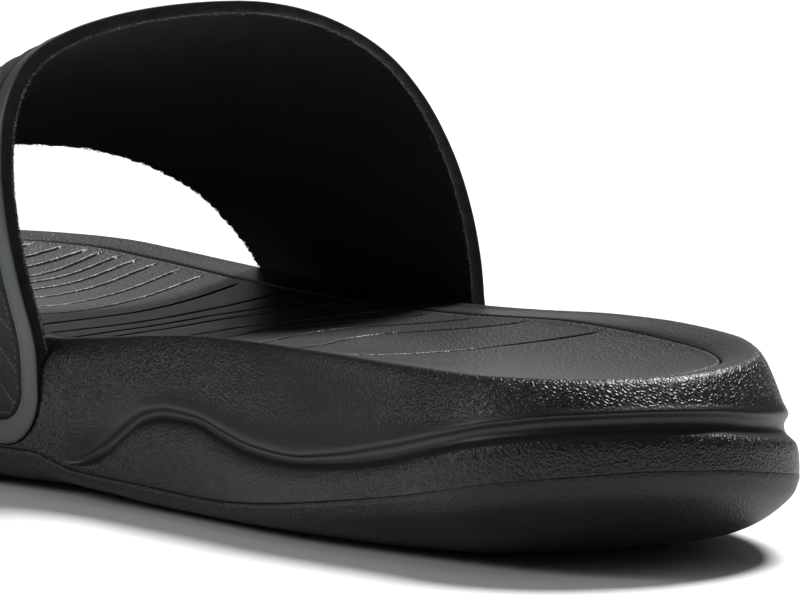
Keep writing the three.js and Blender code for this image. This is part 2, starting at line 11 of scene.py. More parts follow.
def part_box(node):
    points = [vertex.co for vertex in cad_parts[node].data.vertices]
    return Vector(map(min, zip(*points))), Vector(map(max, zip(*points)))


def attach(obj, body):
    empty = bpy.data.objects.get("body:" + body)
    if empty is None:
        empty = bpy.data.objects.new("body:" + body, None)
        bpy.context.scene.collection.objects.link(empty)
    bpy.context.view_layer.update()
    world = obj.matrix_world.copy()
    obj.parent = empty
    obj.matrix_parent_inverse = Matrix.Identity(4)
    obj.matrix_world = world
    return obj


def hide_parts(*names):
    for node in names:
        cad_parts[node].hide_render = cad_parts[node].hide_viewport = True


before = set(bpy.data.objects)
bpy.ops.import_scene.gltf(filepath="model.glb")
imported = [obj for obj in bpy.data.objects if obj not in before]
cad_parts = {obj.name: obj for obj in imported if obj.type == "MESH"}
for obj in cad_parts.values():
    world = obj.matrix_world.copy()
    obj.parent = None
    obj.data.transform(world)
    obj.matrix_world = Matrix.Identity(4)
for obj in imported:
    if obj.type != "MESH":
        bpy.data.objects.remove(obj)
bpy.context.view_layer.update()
rng = np.random.default_rng(7)

# The shoe's own sizes, in mm. The toe is toward +Y, the lateral side toward +X, and the heel's back at y = 0.
LENGTH = 285.0
HALF_BALL = 50.0
RIM = 36.0
MEET = 0.3
OUTSOLE_THICK = 5.0
FOOTBED_THICK = 5.0
FOOTBED_IN = 14.0
TOE_X = -8.0
STRAP_TOP = 88.4
STRAP_WALL = 2.0
SKIN_WALL = 0.6
PROUD = 0.4
TRIM_BAND = 4.4
STRAP_FOOT = 8.4
STRAP_CORNER = 10.0
CROWN = 2.2

# Plan of the sole: a share of LENGTH, then shares of HALF_BALL.
PLAN = [  # along, medial, lateral
    (0.028, 0.450, 0.436), (0.088, 0.684, 0.676), (0.175, 0.750, 0.812), (0.281, 0.788, 0.860),
    (0.386, 0.768, 0.864), (0.491, 0.780, 0.884), (0.596, 0.840, 0.936), (0.702, 0.950, 0.980),
    (0.807, 1.000, 0.996), (0.895, 0.900, 0.892), (0.965, 0.600, 0.544),
]
# Side of the sole: way runs from the heel's back (0) to the toe tip, -1 round the medial side and +1 round
# the lateral side. The heights are shares of RIM, inset is the crest's, in mm, and carve the channel's depth.
SIDE_NAMES = ("way", "joint", "lip", "ridge", "crest", "bed", "inset", "carve")
SIDE = np.array([
    (-1.000, 0.490, 0.62, 0.75, 1.010, 0.967, 7.0, 0),
    (-0.880, 0.390, 0.55, 0.70, 0.975, 0.940, 6.5, 0),
    (-0.790, 0.278, 0.45, 0.62, 0.905, 0.870, 6.0, 0),
    (-0.740, 0.232, 0.42, 0.59, 0.872, 0.840, 5.9, 0),
    (-0.675, 0.220, 0.38, 0.55, 0.835, 0.800, 5.8, 0),
    (-0.590, 0.220, 0.34, 0.50, 0.785, 0.765, 5.8, 0),
    (-0.545, 0.222, 0.30, 0.40, 0.790, 0.770, 5.6, 0),
    (-0.522, 0.185, 0.225, 0.27, 0.808, 0.787, 5.5, 0),
    (-0.506, 0.160, 0.185, 0.235, 0.822, 0.800, 5.5, 0.3),
    (-0.482, 0.150, 0.232, 0.328, 0.845, 0.822, 5.4, 0.7),
    (-0.463, 0.147, 0.335, 0.433, 0.866, 0.842, 5.4, 0.9),
    (-0.445, 0.145, 0.430, 0.511, 0.882, 0.856, 5.4, 1.0),
    (-0.420, 0.141, 0.472, 0.548, 0.902, 0.872, 5.4, 1.0),
    (-0.395, 0.138, 0.474, 0.540, 0.914, 0.880, 5.6, 1.0),
    (-0.365, 0.142, 0.425, 0.492, 0.923, 0.886, 5.9, 1.0),
    (-0.335, 0.160, 0.383, 0.452, 0.929, 0.890, 6.3, 1.05),
    (-0.300, 0.192, 0.372, 0.438, 0.931, 0.892, 6.6, 1.1),
    (-0.262, 0.238, 0.394, 0.476, 0.928, 0.890, 7.0, 1.2),
    (-0.215, 0.300, 0.452, 0.560, 0.922, 0.888, 7.3, 1.3),
    (-0.172, 0.366, 0.545, 0.648, 0.921, 0.890, 7.5, 1.4),
    (-0.130, 0.436, 0.620, 0.726, 0.926, 0.895, 7.6, 1.45),
    (-0.085, 0.488, 0.668, 0.774, 0.930, 0.900, 7.6, 1.45),
    (-0.040, 0.514, 0.680, 0.788, 0.935, 0.908, 7.6, 1.45),
    (0.000, 0.502, 0.662, 0.776, 0.944, 0.918, 7.6, 1.45),
    (0.035, 0.462, 0.620, 0.735, 0.955, 0.928, 7.6, 1.45),
    (0.075, 0.412, 0.570, 0.695, 0.970, 0.935, 7.6, 1.45),
    (0.120, 0.365, 0.520, 0.640, 0.985, 0.938, 7.5, 1.4),
    (0.165, 0.318, 0.465, 0.570, 0.995, 0.940, 7.3, 1.3),
    (0.210, 0.265, 0.410, 0.495, 0.994, 0.942, 7.0, 1.2),
    (0.245, 0.220, 0.380, 0.450, 0.991, 0.945, 6.6, 1.1),
    (0.280, 0.182, 0.395, 0.460, 0.982, 0.947, 6.2, 1.0),
    (0.315, 0.158, 0.455, 0.522, 0.968, 0.943, 5.8, 1.0),
    (0.345, 0.147, 0.473, 0.545, 0.950, 0.930, 5.5, 1.0),
    (0.370, 0.145, 0.420, 0.505, 0.935, 0.915, 5.5, 0.9),
    (0.395, 0.150, 0.240, 0.330, 0.922, 0.900, 5.5, 0.6),
    (0.418, 0.170, 0.200, 0.245, 0.912, 0.890, 5.6, 0.2),
    (0.445, 0.205, 0.26, 0.34, 0.902, 0.880, 5.8, 0),
    (0.490, 0.220, 0.33, 0.48, 0.892, 0.868, 6.0, 0),
    (0.560, 0.220, 0.36, 0.53, 0.886, 0.856, 6.0, 0),
    (0.640, 0.224, 0.38, 0.55, 0.888, 0.858, 6.0, 0),
    (0.710, 0.230, 0.41, 0.58, 0.900, 0.875, 6.0, 0),
    (0.755, 0.272, 0.44, 0.61, 0.922, 0.895, 6.2, 0),
    (0.800, 0.325, 0.48, 0.65, 0.950, 0.920, 6.5, 0),
    (0.880, 0.395, 0.55, 0.70, 0.982, 0.950, 7.0, 0),
    (1.000, 0.490, 0.62, 0.75, 1.010, 0.967, 7.0, 0),
])
# Lengthwise sections of the underside and of the footbed's middle, shares of RIM.
LONG = np.array([  # along, bottom, dish
    (0.000, 0.200, 0.850), (0.028, 0.140, 0.845), (0.053, 0.106, 0.842), (0.081, 0.080, 0.838),
    (0.123, 0.042, 0.832), (0.170, 0.012, 0.828), (0.205, 0.000, 0.826), (0.320, 0.000, 0.826),
    (0.450, 0.000, 0.812), (0.500, 0.016, 0.795), (0.550, 0.016, 0.775), (0.600, 0.000, 0.762),
    (0.745, 0.000, 0.775), (0.825, 0.044, 0.820), (0.895, 0.125, 0.870), (0.950, 0.225, 0.905),
    (1.000, 0.345, 0.930),
])
# Strap from its medial foot over the top to its lateral foot, at its rear and its front edge: x is a share of
# HALF_BALL, z of STRAP_TOP and y of LENGTH.
REAR_X, REAR_Z, REAR_Y, FRONT_X, FRONT_Z, FRONT_Y = range(6)
STRAP = np.array([  # rearX, rearZ, rearY, frontX, frontZ, frontY
    (-0.806, 0.057, 0.5428, -1.008, 0.085, 0.8035),
    (-0.810, 0.226, 0.5428, -1.012, 0.215, 0.8035),
    (-0.826, 0.339, 0.5460, -1.016, 0.322, 0.8000),
    (-0.850, 0.452, 0.5555, -1.004, 0.407, 0.7950),
    (-0.862, 0.566, 0.5650, -0.960, 0.481, 0.7895),
    (-0.850, 0.679, 0.5740, -0.886, 0.543, 0.7830),
    (-0.804, 0.792, 0.5815, -0.780, 0.594, 0.7770),
    (-0.704, 0.885, 0.5850, -0.640, 0.634, 0.7715),
    (-0.540, 0.942, 0.5825, -0.480, 0.664, 0.7640),
    (-0.300, 0.979, 0.5760, -0.280, 0.682, 0.7560),
    (-0.020, 0.996, 0.5655, -0.060, 0.682, 0.7475),
    (0.240, 0.992, 0.5510, 0.160, 0.665, 0.7405),
    (0.460, 0.955, 0.5365, 0.350, 0.633, 0.7350),
    (0.640, 0.886, 0.5210, 0.510, 0.592, 0.7315),
    (0.760, 0.792, 0.5070, 0.650, 0.541, 0.7300),
    (0.832, 0.679, 0.4925, 0.760, 0.486, 0.7300),
    (0.866, 0.566, 0.4805, 0.850, 0.432, 0.7300),
    (0.876, 0.452, 0.4710, 0.920, 0.379, 0.7310),
    (0.872, 0.339, 0.4650, 0.972, 0.322, 0.7320),
    (0.886, 0.226, 0.4632, 0.996, 0.215, 0.7320),
    (0.886, 0.057, 0.4632, 0.996, 0.072, 0.7320),
])


# Curves and tables
def mix(a, b, t):
    return a + (b - a) * t


def smooth(low, high, v):
    t = np.clip((v - low) / (high - low), 0, 1)
    return t * t * (3 - 2 * t)


def column(x, y):
    """Monotone cubic through a table's rows."""
    d = np.diff(y) / np.diff(x)
    m = [d[0]]
    for a, b in zip(d[:-1], d[1:]):
        m.append(0.0 if a * b <= 0 else 2 * a * b / (a + b))
    m.append(d[-1])
    m = np.array(m)

    def value(v):
        q = np.clip(v, x[0], x[-1])
        i = np.clip(np.searchsorted(x, q, side="right") - 1, 0, len(x) - 2)
        h = x[i + 1] - x[i]
        t = (q - x[i]) / h
        a = y[i] + (y[i + 1] - y[i]) * t * t * (3 - 2 * t)
        return a + h * t * (1 - t) * (m[i] * (1 - t) - m[i + 1] * t)
    return value


def hermite(p1, p2, t1, t2, t):
    """Cubic from p1 to p2 that leaves along t1 and arrives along t2."""
    return ((2 * t**3 - 3 * t**2 + 1) * p1 + (t**3 - 2 * t**2 + t) * t1
            + (3 * t**2 - 2 * t**3) * p2 + (t**3 - t**2) * t2)


def centripetal(p, least=0.0):
    """Slopes at the middle two of four points, for a centripetal Catmull-Rom curve."""
    p0, p1, p2, p3 = p
    spans = [np.linalg.norm(b - a, axis=-1, keepdims=True) for a, b in ((p0, p1), (p1, p2), (p2, p3))]
    d0, d1, d2 = (np.maximum(span, least) ** 0.5 for span in spans)
    t1 = ((p1 - p0) / d0 - (p2 - p0) / (d0 + d1) + (p2 - p1) / d1) * d1
    t2 = ((p2 - p1) / d1 - (p3 - p1) / (d1 + d2) + (p3 - p2) / d2) * d1
    return t1, t2


def closed_curve(points, steps):
    """Centripetal Catmull-Rom through a closed list of points."""
    t = np.linspace(0, 1, steps, endpoint=False)[:, None]
    spans = []
    for i in range(len(points)):
        p = [points[(i + k) % len(points)] for k in (-1, 0, 1, 2)]
        spans.append(hermite(p[1], p[2], *centripetal(p), t))
    return np.concatenate(spans)


plan_points = [(0.0, 0.0)] + [(b * HALF_BALL, a * LENGTH) for a, _, b in PLAN] + [(TOE_X, LENGTH)]
plan_points += [(-m * HALF_BALL, a * LENGTH) for a, m, _ in reversed(PLAN)]
FINE = 120
fine = closed_curve(np.array(plan_points), FINE)
fine = np.vstack([fine, fine[:1]])
run = np.r_[0, np.cumsum(np.linalg.norm(np.diff(fine, axis=0), axis=1))]
toe_step = (len(PLAN) + 1) * FINE
lateral_run = run[toe_step]
medial_run = run[-1] - lateral_run
NORMAL_REACH = 1.5


def at_run(s):
    q = np.mod(s, run[-1])
    return np.stack([np.interp(q, run, fine[:, 0]), np.interp(q, run, fine[:, 1])], -1)


def plan(way):
    """Points and outward normals of the plan."""
    s = np.where(way >= 0, way * lateral_run, way * medial_run)
    t = at_run(s + NORMAL_REACH) - at_run(s - NORMAL_REACH)
    t /= np.linalg.norm(t, axis=-1, keepdims=True)
    return at_run(s), np.stack([t[..., 1], -t[..., 0]], -1)


def width_table(side):
    part = fine[:toe_step + 1] if side > 0 else fine[toe_step:][::-1]
    return np.maximum.accumulate(part[:, 1]), side * part[:, 0]


widths = {1: width_table(1), -1: width_table(-1)}


def half_width(side, y):
    return np.interp(y, *widths[side])


side_of = {n: column(SIDE[:, 0], SIDE[:, k]) for k, n in enumerate(SIDE_NAMES) if k}
bottom_of = column(LONG[:, 0], LONG[:, 1])
dish_of = column(LONG[:, 0], LONG[:, 2])

# Stations round the sole, in pairs, so that both sides share one spine.
AROUND = 720
SPINE_ENDS = (42, LENGTH - 44)
HEIGHTS = ("joint", "lip", "ridge", "crest", "bed")
way = np.arange(AROUND) / AROUND * 2
way = np.where(way > 1, way - 2, way)
edge, out = plan(way)
spine_y = np.clip((edge[:, 1] + plan(-way)[0][:, 1]) / 2, *SPINE_ENDS)
spine_x = (half_width(1, spine_y) - half_width(-1, spine_y)) / 2
spine = np.stack([spine_x, spine_y], -1)
S = {n: side_of[n](way) * (RIM if n in HEIGHTS else 1) for n in side_of}

# The bed is lower inside the medial wall, under the strap: depth in mm, then middle and spread as ways.
DIP, DIP_AT, DIP_SPREAD = 1.4, -0.47, 0.09
S["bed"] -= DIP * np.exp(-((way - DIP_AT) / DIP_SPREAD) ** 2)

# How far the outer rings draw in at the heel, in mm.
HEEL_IN = 0.5 * (1 - smooth(0.05, 0.22, abs(way)))


def ring(inset, z):
    """Points round the sole, at an inset from its edge and at a height."""
    near = inset + HEEL_IN * (1 - smooth(4, 12, inset))
    p = edge - out * near[:, None]
    h = z(p[:, 1]) if callable(z) else z
    return np.column_stack([p, np.zeros(AROUND) + h])


def inward(inset, share, height):
    """A ring that has moved a share of the way from an inset to the spine."""
    p = mix(edge - out * inset, spine, share)
    return np.column_stack([p, height(p[:, 1], share)])


def bottom_at(y, share=0):
    return RIM * bottom_of(np.clip(y / LENGTH, 0, 1))


def floor_at(y, share=0):
    return bottom_at(y) + OUTSOLE_THICK


def under_midsole(y, share=0):
    return floor_at(y) + MEET


def bed_height(y, share=0):
    dish = RIM * dish_of(np.clip(y / LENGTH, 0, 1))
    return mix(S["bed"], dish, 1 - (1 - share) ** 2)


def under_footbed(y, share=0):
    return bed_height(y, share) - FOOTBED_THICK


def seat(y, share=0):
    return under_footbed(y, share) - MEET


LEAST_SPAN = 1e-6


def refine(rings, steps):
    """Curve through rings. steps gives how many rings each span becomes."""
    r = np.array(rings)
    r = np.concatenate([2 * r[:1] - r[1:2], r, 2 * r[-1:] - r[-2:-1]])
    out_rings, levels = [], []
    for k, n in enumerate(steps):
        p = r[k:k + 4]
        slopes = centripetal(p, LEAST_SPAN)
        for t in range(n):
            levels.append(k + t / n)
            out_rings.append(hermite(p[1], p[2], *slopes, t / n))
    return out_rings + [rings[-1]], np.array(levels + [len(steps)])


# Mesh helpers
MM = 1000


def shift():
    """Where the shoe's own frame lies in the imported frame, in mm."""
    lo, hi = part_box("midsole")
    middle = (edge[:, 0].min() + edge[:, 0].max()) / 2
    return np.array([(lo[0] + hi[0]) / 2 * MM - middle, -LENGTH / 2, 0.0])


SHIFT = shift()


def add_object(name, data):
    ob = bpy.data.objects.new(name, data)
    bpy.context.scene.collection.objects.link(ob)
    return ob


def smooth_faces(me):
    me.polygons.foreach_set("use_smooth", [True] * len(me.polygons))


def add_mesh(name, verts, faces):
    me = bpy.data.meshes.new(name)
    me.from_pydata(((np.asarray(verts, float) + SHIFT) / MM).tolist(), [], faces)
    me.validate(clean_customdata=False)
    me.update()
    smooth_faces(me)
    return add_object(name, me)


def ring_faces(count, n, wrap=False):
    """Quads between count rings of n points, and with wrap from the last ring to the first."""
    a = np.arange(count if wrap else count - 1)[:, None] * n
    b = (a + n) % (count * n)
    i = np.arange(n)[None, :]
    j = (i + 1) % n
    return np.stack([a + i, a + j, b + j, b + i], -1).reshape(-1, 4).tolist()


def sheet_faces(n, m):
    """Quads of a grid of n by m points, and the points of its border in order."""
    grid = np.arange(n * m).reshape(n, m)
    quads = np.stack([grid[:-1, :-1], grid[1:, :-1], grid[1:, 1:], grid[:-1, 1:]], -1).reshape(-1, 4)
    return quads, np.r_[grid[0, :-1], grid[:-1, -1], grid[-1, :0:-1], grid[:0:-1, 0]]


def edge_faces(a, b):
    """Quads between two closed rows of points."""
    return np.stack([a, np.roll(a, -1), np.roll(b, -1), b], -1)[:, ::-1].tolist()


def weld(ob):
    bm = bmesh.new()
    bm.from_mesh(ob.data)
    bmesh.ops.remove_doubles(bm, verts=bm.verts, dist=1e-6)
    bmesh.ops.recalc_face_normals(bm, faces=bm.faces)
    bm.to_mesh(ob.data)
    bm.free()
    return ob


def cut(ob, tool):
    """Takes a closed tool out of a piece for good."""
    m = ob.modifiers.new("cut", "BOOLEAN")
    m.operation = "DIFFERENCE"
    m.solver = "EXACT"
    m.object = tool
    graph = bpy.context.evaluated_depsgraph_get()
    graph.update()
    old = ob.data
    me = bpy.data.meshes.new_from_object(ob.evaluated_get(graph))
    ob.modifiers.clear()
    ob.data = me
    bpy.data.meshes.remove(old)
    bpy.data.objects.remove(tool)
    smooth_faces(me)


def point_attribute(ob, name, values):
    a = ob.data.attributes.new(name, "FLOAT", "POINT")
    a.data.foreach_set("value", np.asarray(values, np.float32))


# Sole: how deep the crease is where outsole and midsole meet
CREASE = np.interp(way, [-0.70, -0.62, -0.34, -0.16, 0.16, 0.34, 0.62, 0.70],
                   [0.8, 1.0, 1.0, 0.2, 0.2, 1.0, 1.0, 0.8])

# How much wider than its named width the bevel below is, from the heel over the waist to the toe.
BEVEL_WIDE = 8.9
BEVEL_AT = (0, 0.10, 0.20, 0.28, 0.34, 0.40, 0.44, 0.48, 0.54, 0.60, 0.75, 1)
BEVEL_MORE = (0.95, 0.95, 0.90, 0.72, 0.48, 0.28, 0.32, 0.46, 0.76, 0.95, 1.0, 1.0)
BEVEL = 1 + column(np.array(BEVEL_AT), np.array(BEVEL_MORE))(abs(way))
# The bevel's profile: inset in mm before it is widened, and share of the way from the joint to the bottom.
BEVEL_PROFILE = ((0.12, 0.16), (0.5, 0.34), (1.6, 0.55), (3.4, 0.77), (5.6, 0.92), (7.3, 0.985))


def outsole_rings():
    """From the middle of the inner floor over the edge to the middle of the underside."""
    j = S["joint"]
    control = [
        inward(9, 1, floor_at), inward(9, 0.4, floor_at), ring(9, floor_at), ring(6.5, floor_at),
        ring(2.8, np.maximum(j - MEET / 2, 3)), ring(0.75, j - 0.02),
        ring(0.2 * CREASE, j - 0.05 * CREASE), ring(0.04 * CREASE, j - 0.3), ring(0.0, j - 0.9),
    ]
    for inset, share in BEVEL_PROFILE:
        control.append(ring(inset * BEVEL, lambda y: mix(j, bottom_at(y), share)))
    control += [
        ring(BEVEL_WIDE * BEVEL, bottom_at), ring(BEVEL_WIDE * BEVEL + 1.0, bottom_at),
        inward(8.5, 0.46, bottom_at), inward(8.5, 0.7, bottom_at), inward(8.5, 1, bottom_at),
    ]
    return refine(control, (1, 1, 1, 1, 1, 2, 2, 2, 3, 4, 5, 5, 5, 4, 3, 2, 2, 2, 2))


# The wall stands full and flush at the strap's foot and fades over these distances, in mm.
FULL_SHARE = 0.95
FULL_PAST, FADE_BEHIND, FADE_AHEAD = 2, 38, 30


def by_strap_foot():
    """Share by which the wall stands full."""
    rear = np.where(way < 0, STRAP[0, REAR_Y], STRAP[-1, REAR_Y]) * LENGTH
    front = np.where(way < 0, STRAP[0, FRONT_Y], STRAP[-1, FRONT_Y]) * LENGTH
    y = edge[:, 1]
    ahead = 1 - smooth(front + FULL_PAST, front + FADE_AHEAD, y)
    return FULL_SHARE * smooth(rear - FADE_BEHIND, rear - FULL_PAST, y) * ahead


BY_STRAP = by_strap_foot()
# Rings of the wall: inset in mm, what each mm of carving adds to it, and share of the way up.
UNDER_LIP = ((0, 0.05, 0.35), (0, 0.15, 0.68), (0.25, 0.28, 0.93))
CHANNEL = ((0.4, 0.7, 0.1), (0.6, 1.22, 0.3), (0.7, 1.38, 0.52), (0.78, 1.25, 0.74), (0.86, 0.85, 0.93))
# Rings above the channel: share of the way in from its bead to the crest, and share of the way up.
ABOVE = ((0, 0.03), (0.17, 0.22), (0.33, 0.44), (0.49, 0.64), (0.65, 0.81), (0.81, 0.93))


def midsole_rings():
    """From the middle of the underside up the wall and over the rim to the middle of the footbed's seat."""
    names = ("joint", "lip", "ridge", "crest", "carve", "inset", "bed")
    j, lip, ridge, crest, c, inset, bed = (S[n] for n in names)
    bead = 0.9 + 0.72 * c

    def wall(carved, z):
        t = np.clip((z - j) / (crest - j), 0, 1)
        full = inset * (0.05 * t + 0.95 * t ** 8)
        rolled = mix(inset * (0.15 * t + 0.85 * t * t), full, BY_STRAP)
        carved = mix(carved, full, BY_STRAP * smooth(0, 5, z - ridge))
        return ring(mix(rolled, carved, smooth(0.0, 0.45, c)), z)
    control = [
        inward(9, 1, under_midsole), inward(9, 0.4, under_midsole), ring(9.2, under_midsole),
        ring(6.8, under_midsole), ring(3.1, j + MEET / 2), ring(0.75, j + 0.02),
        ring(0.2 * CREASE, j + 0.05 * CREASE), ring(0.04 * CREASE, j + 0.3), ring(0.0, j + 0.9),
    ]
    control += [wall(a + b * c, mix(j + 0.9, lip, t)) for a, b, t in UNDER_LIP]
    control += [wall(a + b * c, mix(lip, ridge, t)) for a, b, t in CHANNEL]
    control += [wall(mix(bead, inset, a), mix(ridge, crest, t)) for a, t in ABOVE]
    control += [
        ring(inset, crest), ring(inset + 2.0, mix(ridge, crest, 0.985)),
        ring(FOOTBED_IN - 1.3, mix(bed, crest, 0.3)), ring(FOOTBED_IN - 0.45, bed + 0.12),
        ring(FOOTBED_IN - 0.05, bed - 0.25), ring(FOOTBED_IN, bed - 1.2), ring(FOOTBED_IN, seat),
        inward(FOOTBED_IN, 0.5, seat), inward(FOOTBED_IN, 1, seat),
    ]
    return refine(control, (1, 1, 1, 1, 1, 2, 2, 2, 3, 4, 3, 3, 3, 3, 3, 3, 2, 3, 4, 4, 4, 4, 4, 3, 4, 2, 2,
                            1, 1, 1, 1))


def make_rings(name, rings):
    return add_mesh(name, np.concatenate(rings), ring_faces(len(rings), AROUND))


# Grooves across the underside, as shares of LENGTH, and how far they stay from the edge in mm.
TREAD_REAR = (0.25, 0.30, 0.35, 0.40)
TREAD_FORE = (0.64, 0.69, 0.74, 0.79)
TREAD_RIM_REAR = 19
TREAD_RIM_FORE = 21
TREAD_WIDE = 3.0
TREAD_DEEP = 1.4
TREAD_FLARE = 0.4
BAR_FACES = ((0, 1, 3, 2), (2, 3, 5, 4), (4, 5, 7, 6), (6, 7, 1, 0), (0, 2, 4, 6), (1, 7, 5, 3))


def tread_tool():
    """Bars, wider below, that cut the grooves."""
    half = TREAD_WIDE / 2
    profile = ((-half - TREAD_FLARE, -2), (half + TREAD_FLARE, -2), (half, TREAD_DEEP), (-half, TREAD_DEEP))
    verts, faces = [], []
    for along in TREAD_REAR + TREAD_FORE:
        y = along * LENGTH
        rim = TREAD_RIM_REAR if along in TREAD_REAR else TREAD_RIM_FORE
        faces += [[len(verts) + i for i in face] for face in BAR_FACES]
        for dy, dz in profile:
            ends = rim - half_width(-1, y), half_width(1, y) - rim
            verts += [(x, y + dy, bottom_at(y) + dz) for x in ends]
    return weld(add_mesh("tread_tool", verts, faces))


base_rings, base_levels = outsole_rings()
sole_base = make_rings("sole_base", base_rings)
# These values set the outsole's grain and also where its side is painted paler, as painted bounce light from
# the floor, from the waist to the toe.
grain_and_bounce_by_level = np.interp(base_levels, [0, 8, 11, 14, 19], [0.2, 1.0, 0.9, 0.5, 0.2])
grain_and_bounce_by_way = np.interp(way, [-1, -0.32, -0.20, 0.20, 0.32, 1], [1.0, 0.9, 0.3, 0.3, 0.9, 1.0])
point_attribute(sole_base, "grain", (grain_and_bounce_by_level[:, None] * grain_and_bounce_by_way[None, :]).reshape(-1))
weld(sole_base)
cut(sole_base, tread_tool())


def wall_grain(levels):
    """Worn mould grain: full on the walls, none in the channel, fading by the arch and at the strap's end."""
    level = np.repeat(levels[:, None], AROUND, 1)
    strength = np.interp(level, [0, 6, 8, 10, 11.3, 12, 17.2, 18.7, 22, 23, 24, 27],
                         [0.3, 0.6, 1, 1, 0.7, 0, 0, 1, 1, 0.7, 0.45, 0.3])
    uncarved = 1 - smooth(0.0, 0.35, S["carve"])
    strength = np.where((level > 11) & (level < 18.5), mix(strength, 1.0, uncarved), strength)
    above = np.interp(way, [-0.62, -0.50, -0.44, -0.36, -0.30, -0.23, -0.19],
                      [0.9, 0.9, 0.85, 0.55, 0.25, 0.35, 1.0])
    below = np.interp(way, [-0.50, -0.40, -0.34, -0.28, -0.20], [1.0, 0.95, 0.45, 0.35, 1.0])
    strength *= np.where(level > 17, above, below)
    at_strap = np.interp(way, [-0.60, -0.535, -0.50, -0.42], [0.5, 0.5, 0.6, 1.0])
    return strength * np.where((level > 20) & (level < 24), at_strap, 1)


wall_rings, wall_levels = midsole_rings()
sole_wall = make_rings("sole_wall", wall_rings)
point_attribute(sole_wall, "grain", wall_grain(wall_levels).reshape(-1))
weld(sole_wall)

# Footbed: grooves across it, from the waist to the toe. y is a share of LENGTH at four places across,
# from the medial to the lateral side.
GROOVE_AT = (-28.0, -8.0, 12.0, 31.0)
GROOVES = [
    (0.295, 0.314, 0.303, 0.239), (0.337, 0.388, 0.416, 0.316), (0.393, 0.439, 0.465, 0.379),
    (0.447, 0.487, 0.512, 0.434), (0.507, 0.526, 0.546, 0.488), (0.560, 0.575, 0.599, 0.562),
    (0.579, 0.596, 0.618, 0.597), (0.606, 0.618, 0.640, 0.640), (0.640, 0.656, 0.677, 0.696),
    (0.702, 0.692, 0.716, 0.742), (0.751, 0.725, 0.745, 0.772), (0.796, 0.765, 0.774, 0.800),
    (0.825, 0.795, 0.796, 0.821), (0.846, 0.818, 0.815, 0.840), (0.863, 0.837, 0.832, 0.858),
    (0.884, 0.861, 0.855, 0.870), (0.905, 0.882, 0.875, 0.888), (0.933, 0.905, 0.896, 0.909),
]
GROOVE_DEEP = 1.0
GROOVE_BANKS = (-0.95, -0.66, -0.56, -0.34, 0.34, 0.56, 0.66, 0.95)
GROOVE_STEP = 0.75
FOOTBED_EDGE = FOOTBED_IN + MEET * 0.6
# The footbed's edge: inset from FOOTBED_EDGE and depth under the bed, in mm.
FOOTBED_PROFILE = ((0, 1.4), (0.02, 0.6), (0.12, 0.28), (0.3, 0.1), (0.6, 0.03))
BED_ROWS = 70
BED_GRID = 2.0
NO_BED = 30.0


def groove_line(row, x):
    """Smooth line through the four given places."""
    px = np.array([GROOVE_AT[0] - 14, *GROOVE_AT, GROOVE_AT[3] + 10])
    y = np.array(row) * LENGTH
    py = np.array([y[0] + (y[0] - y[1]) * 0.1, *y, y[3] + (y[3] - y[2]) * 0.45])
    m = np.gradient(py, px)
    i = np.clip(np.searchsorted(px, x, side="right") - 1, 0, len(px) - 2)
    h = px[i + 1] - px[i]
    return hermite(py[i], py[i + 1], h * m[i], h * m[i + 1], (x - px[i]) / h)


def distance_inside(points, outline):
    """Distance of points to a closed polygon, negative outside."""
    best = np.full(len(points), 1e9)
    inside = np.zeros(len(points), bool)
    for p0, p1 in zip(outline, np.roll(outline, -1, 0)):
        d = p1 - p0
        t = np.clip(((points - p0) @ d) / (d @ d + 1e-12), 0, 1)
        best = np.minimum(best, np.hypot(*(points - p0 - t[:, None] * d).T))
        if p0[1] != p1[1]:
            cross = ((p0[1] > points[:, 1]) != (p1[1] > points[:, 1]))
            at = p0[0] + (points[:, 1] - p0[1]) * (p1[0] - p0[0]) / (p1[1] - p0[1])
            inside ^= cross & (points[:, 0] < at)
    return np.where(inside, best, -best)


def groove_points(outline):
    """Points on the banks of the grooves with their depths, and the grooves' centre lines."""
    x = np.arange(-44, 44, GROOVE_STEP)
    points, drop, centres = [], [], []
    for row in GROOVES:
        line = np.stack([x, groove_line(row, x)], -1)
        d = np.gradient(line, axis=0)
        d /= np.linalg.norm(d, axis=1, keepdims=True)
        normal = np.stack([-d[:, 1], d[:, 0]], -1)
        fade = smooth(2.0, 4.2, distance_inside(line, outline))
        on = fade > 0
        centres.append(line[on])
        for bank in GROOVE_BANKS:
            points.append((line + normal * bank)[on])
            drop.append((fade * GROOVE_DEEP * (1 - smooth(0.32, 0.68, abs(bank))))[on])
    return points, drop, np.concatenate(centres)


def bed_points():
    """Points of the bed inside its border, with how deep each lies under the bed."""
    outline = ring(FOOTBED_EDGE, 0.0)[::2, :2]
    points, drop, centres = groove_points(outline)
    gx, gy = np.meshgrid(np.arange(-46, 47, BED_GRID), np.arange(8, 282, BED_GRID))
    gx = gx + (np.arange(gx.shape[0]) % 2)[:, None]
    grid = np.stack([gx.ravel(), gy.ravel()], -1)
    grid = grid[distance_inside(grid, outline) > 2.4]
    near = np.array([np.min(np.hypot(*(centres - g).T)) for g in grid])
    for plain in (ring(FOOTBED_EDGE + 1.1, 0.0)[::2, :2], ring(FOOTBED_EDGE + 1.9, 0.0)[::3, :2],
                  grid[near > 1.8]):
        points.append(plain)
        drop.append(np.zeros(len(plain)))
    points, drop = np.concatenate(points), np.concatenate(drop)
    ok = distance_inside(points, outline) > 0.85
    return points[ok], drop[ok]


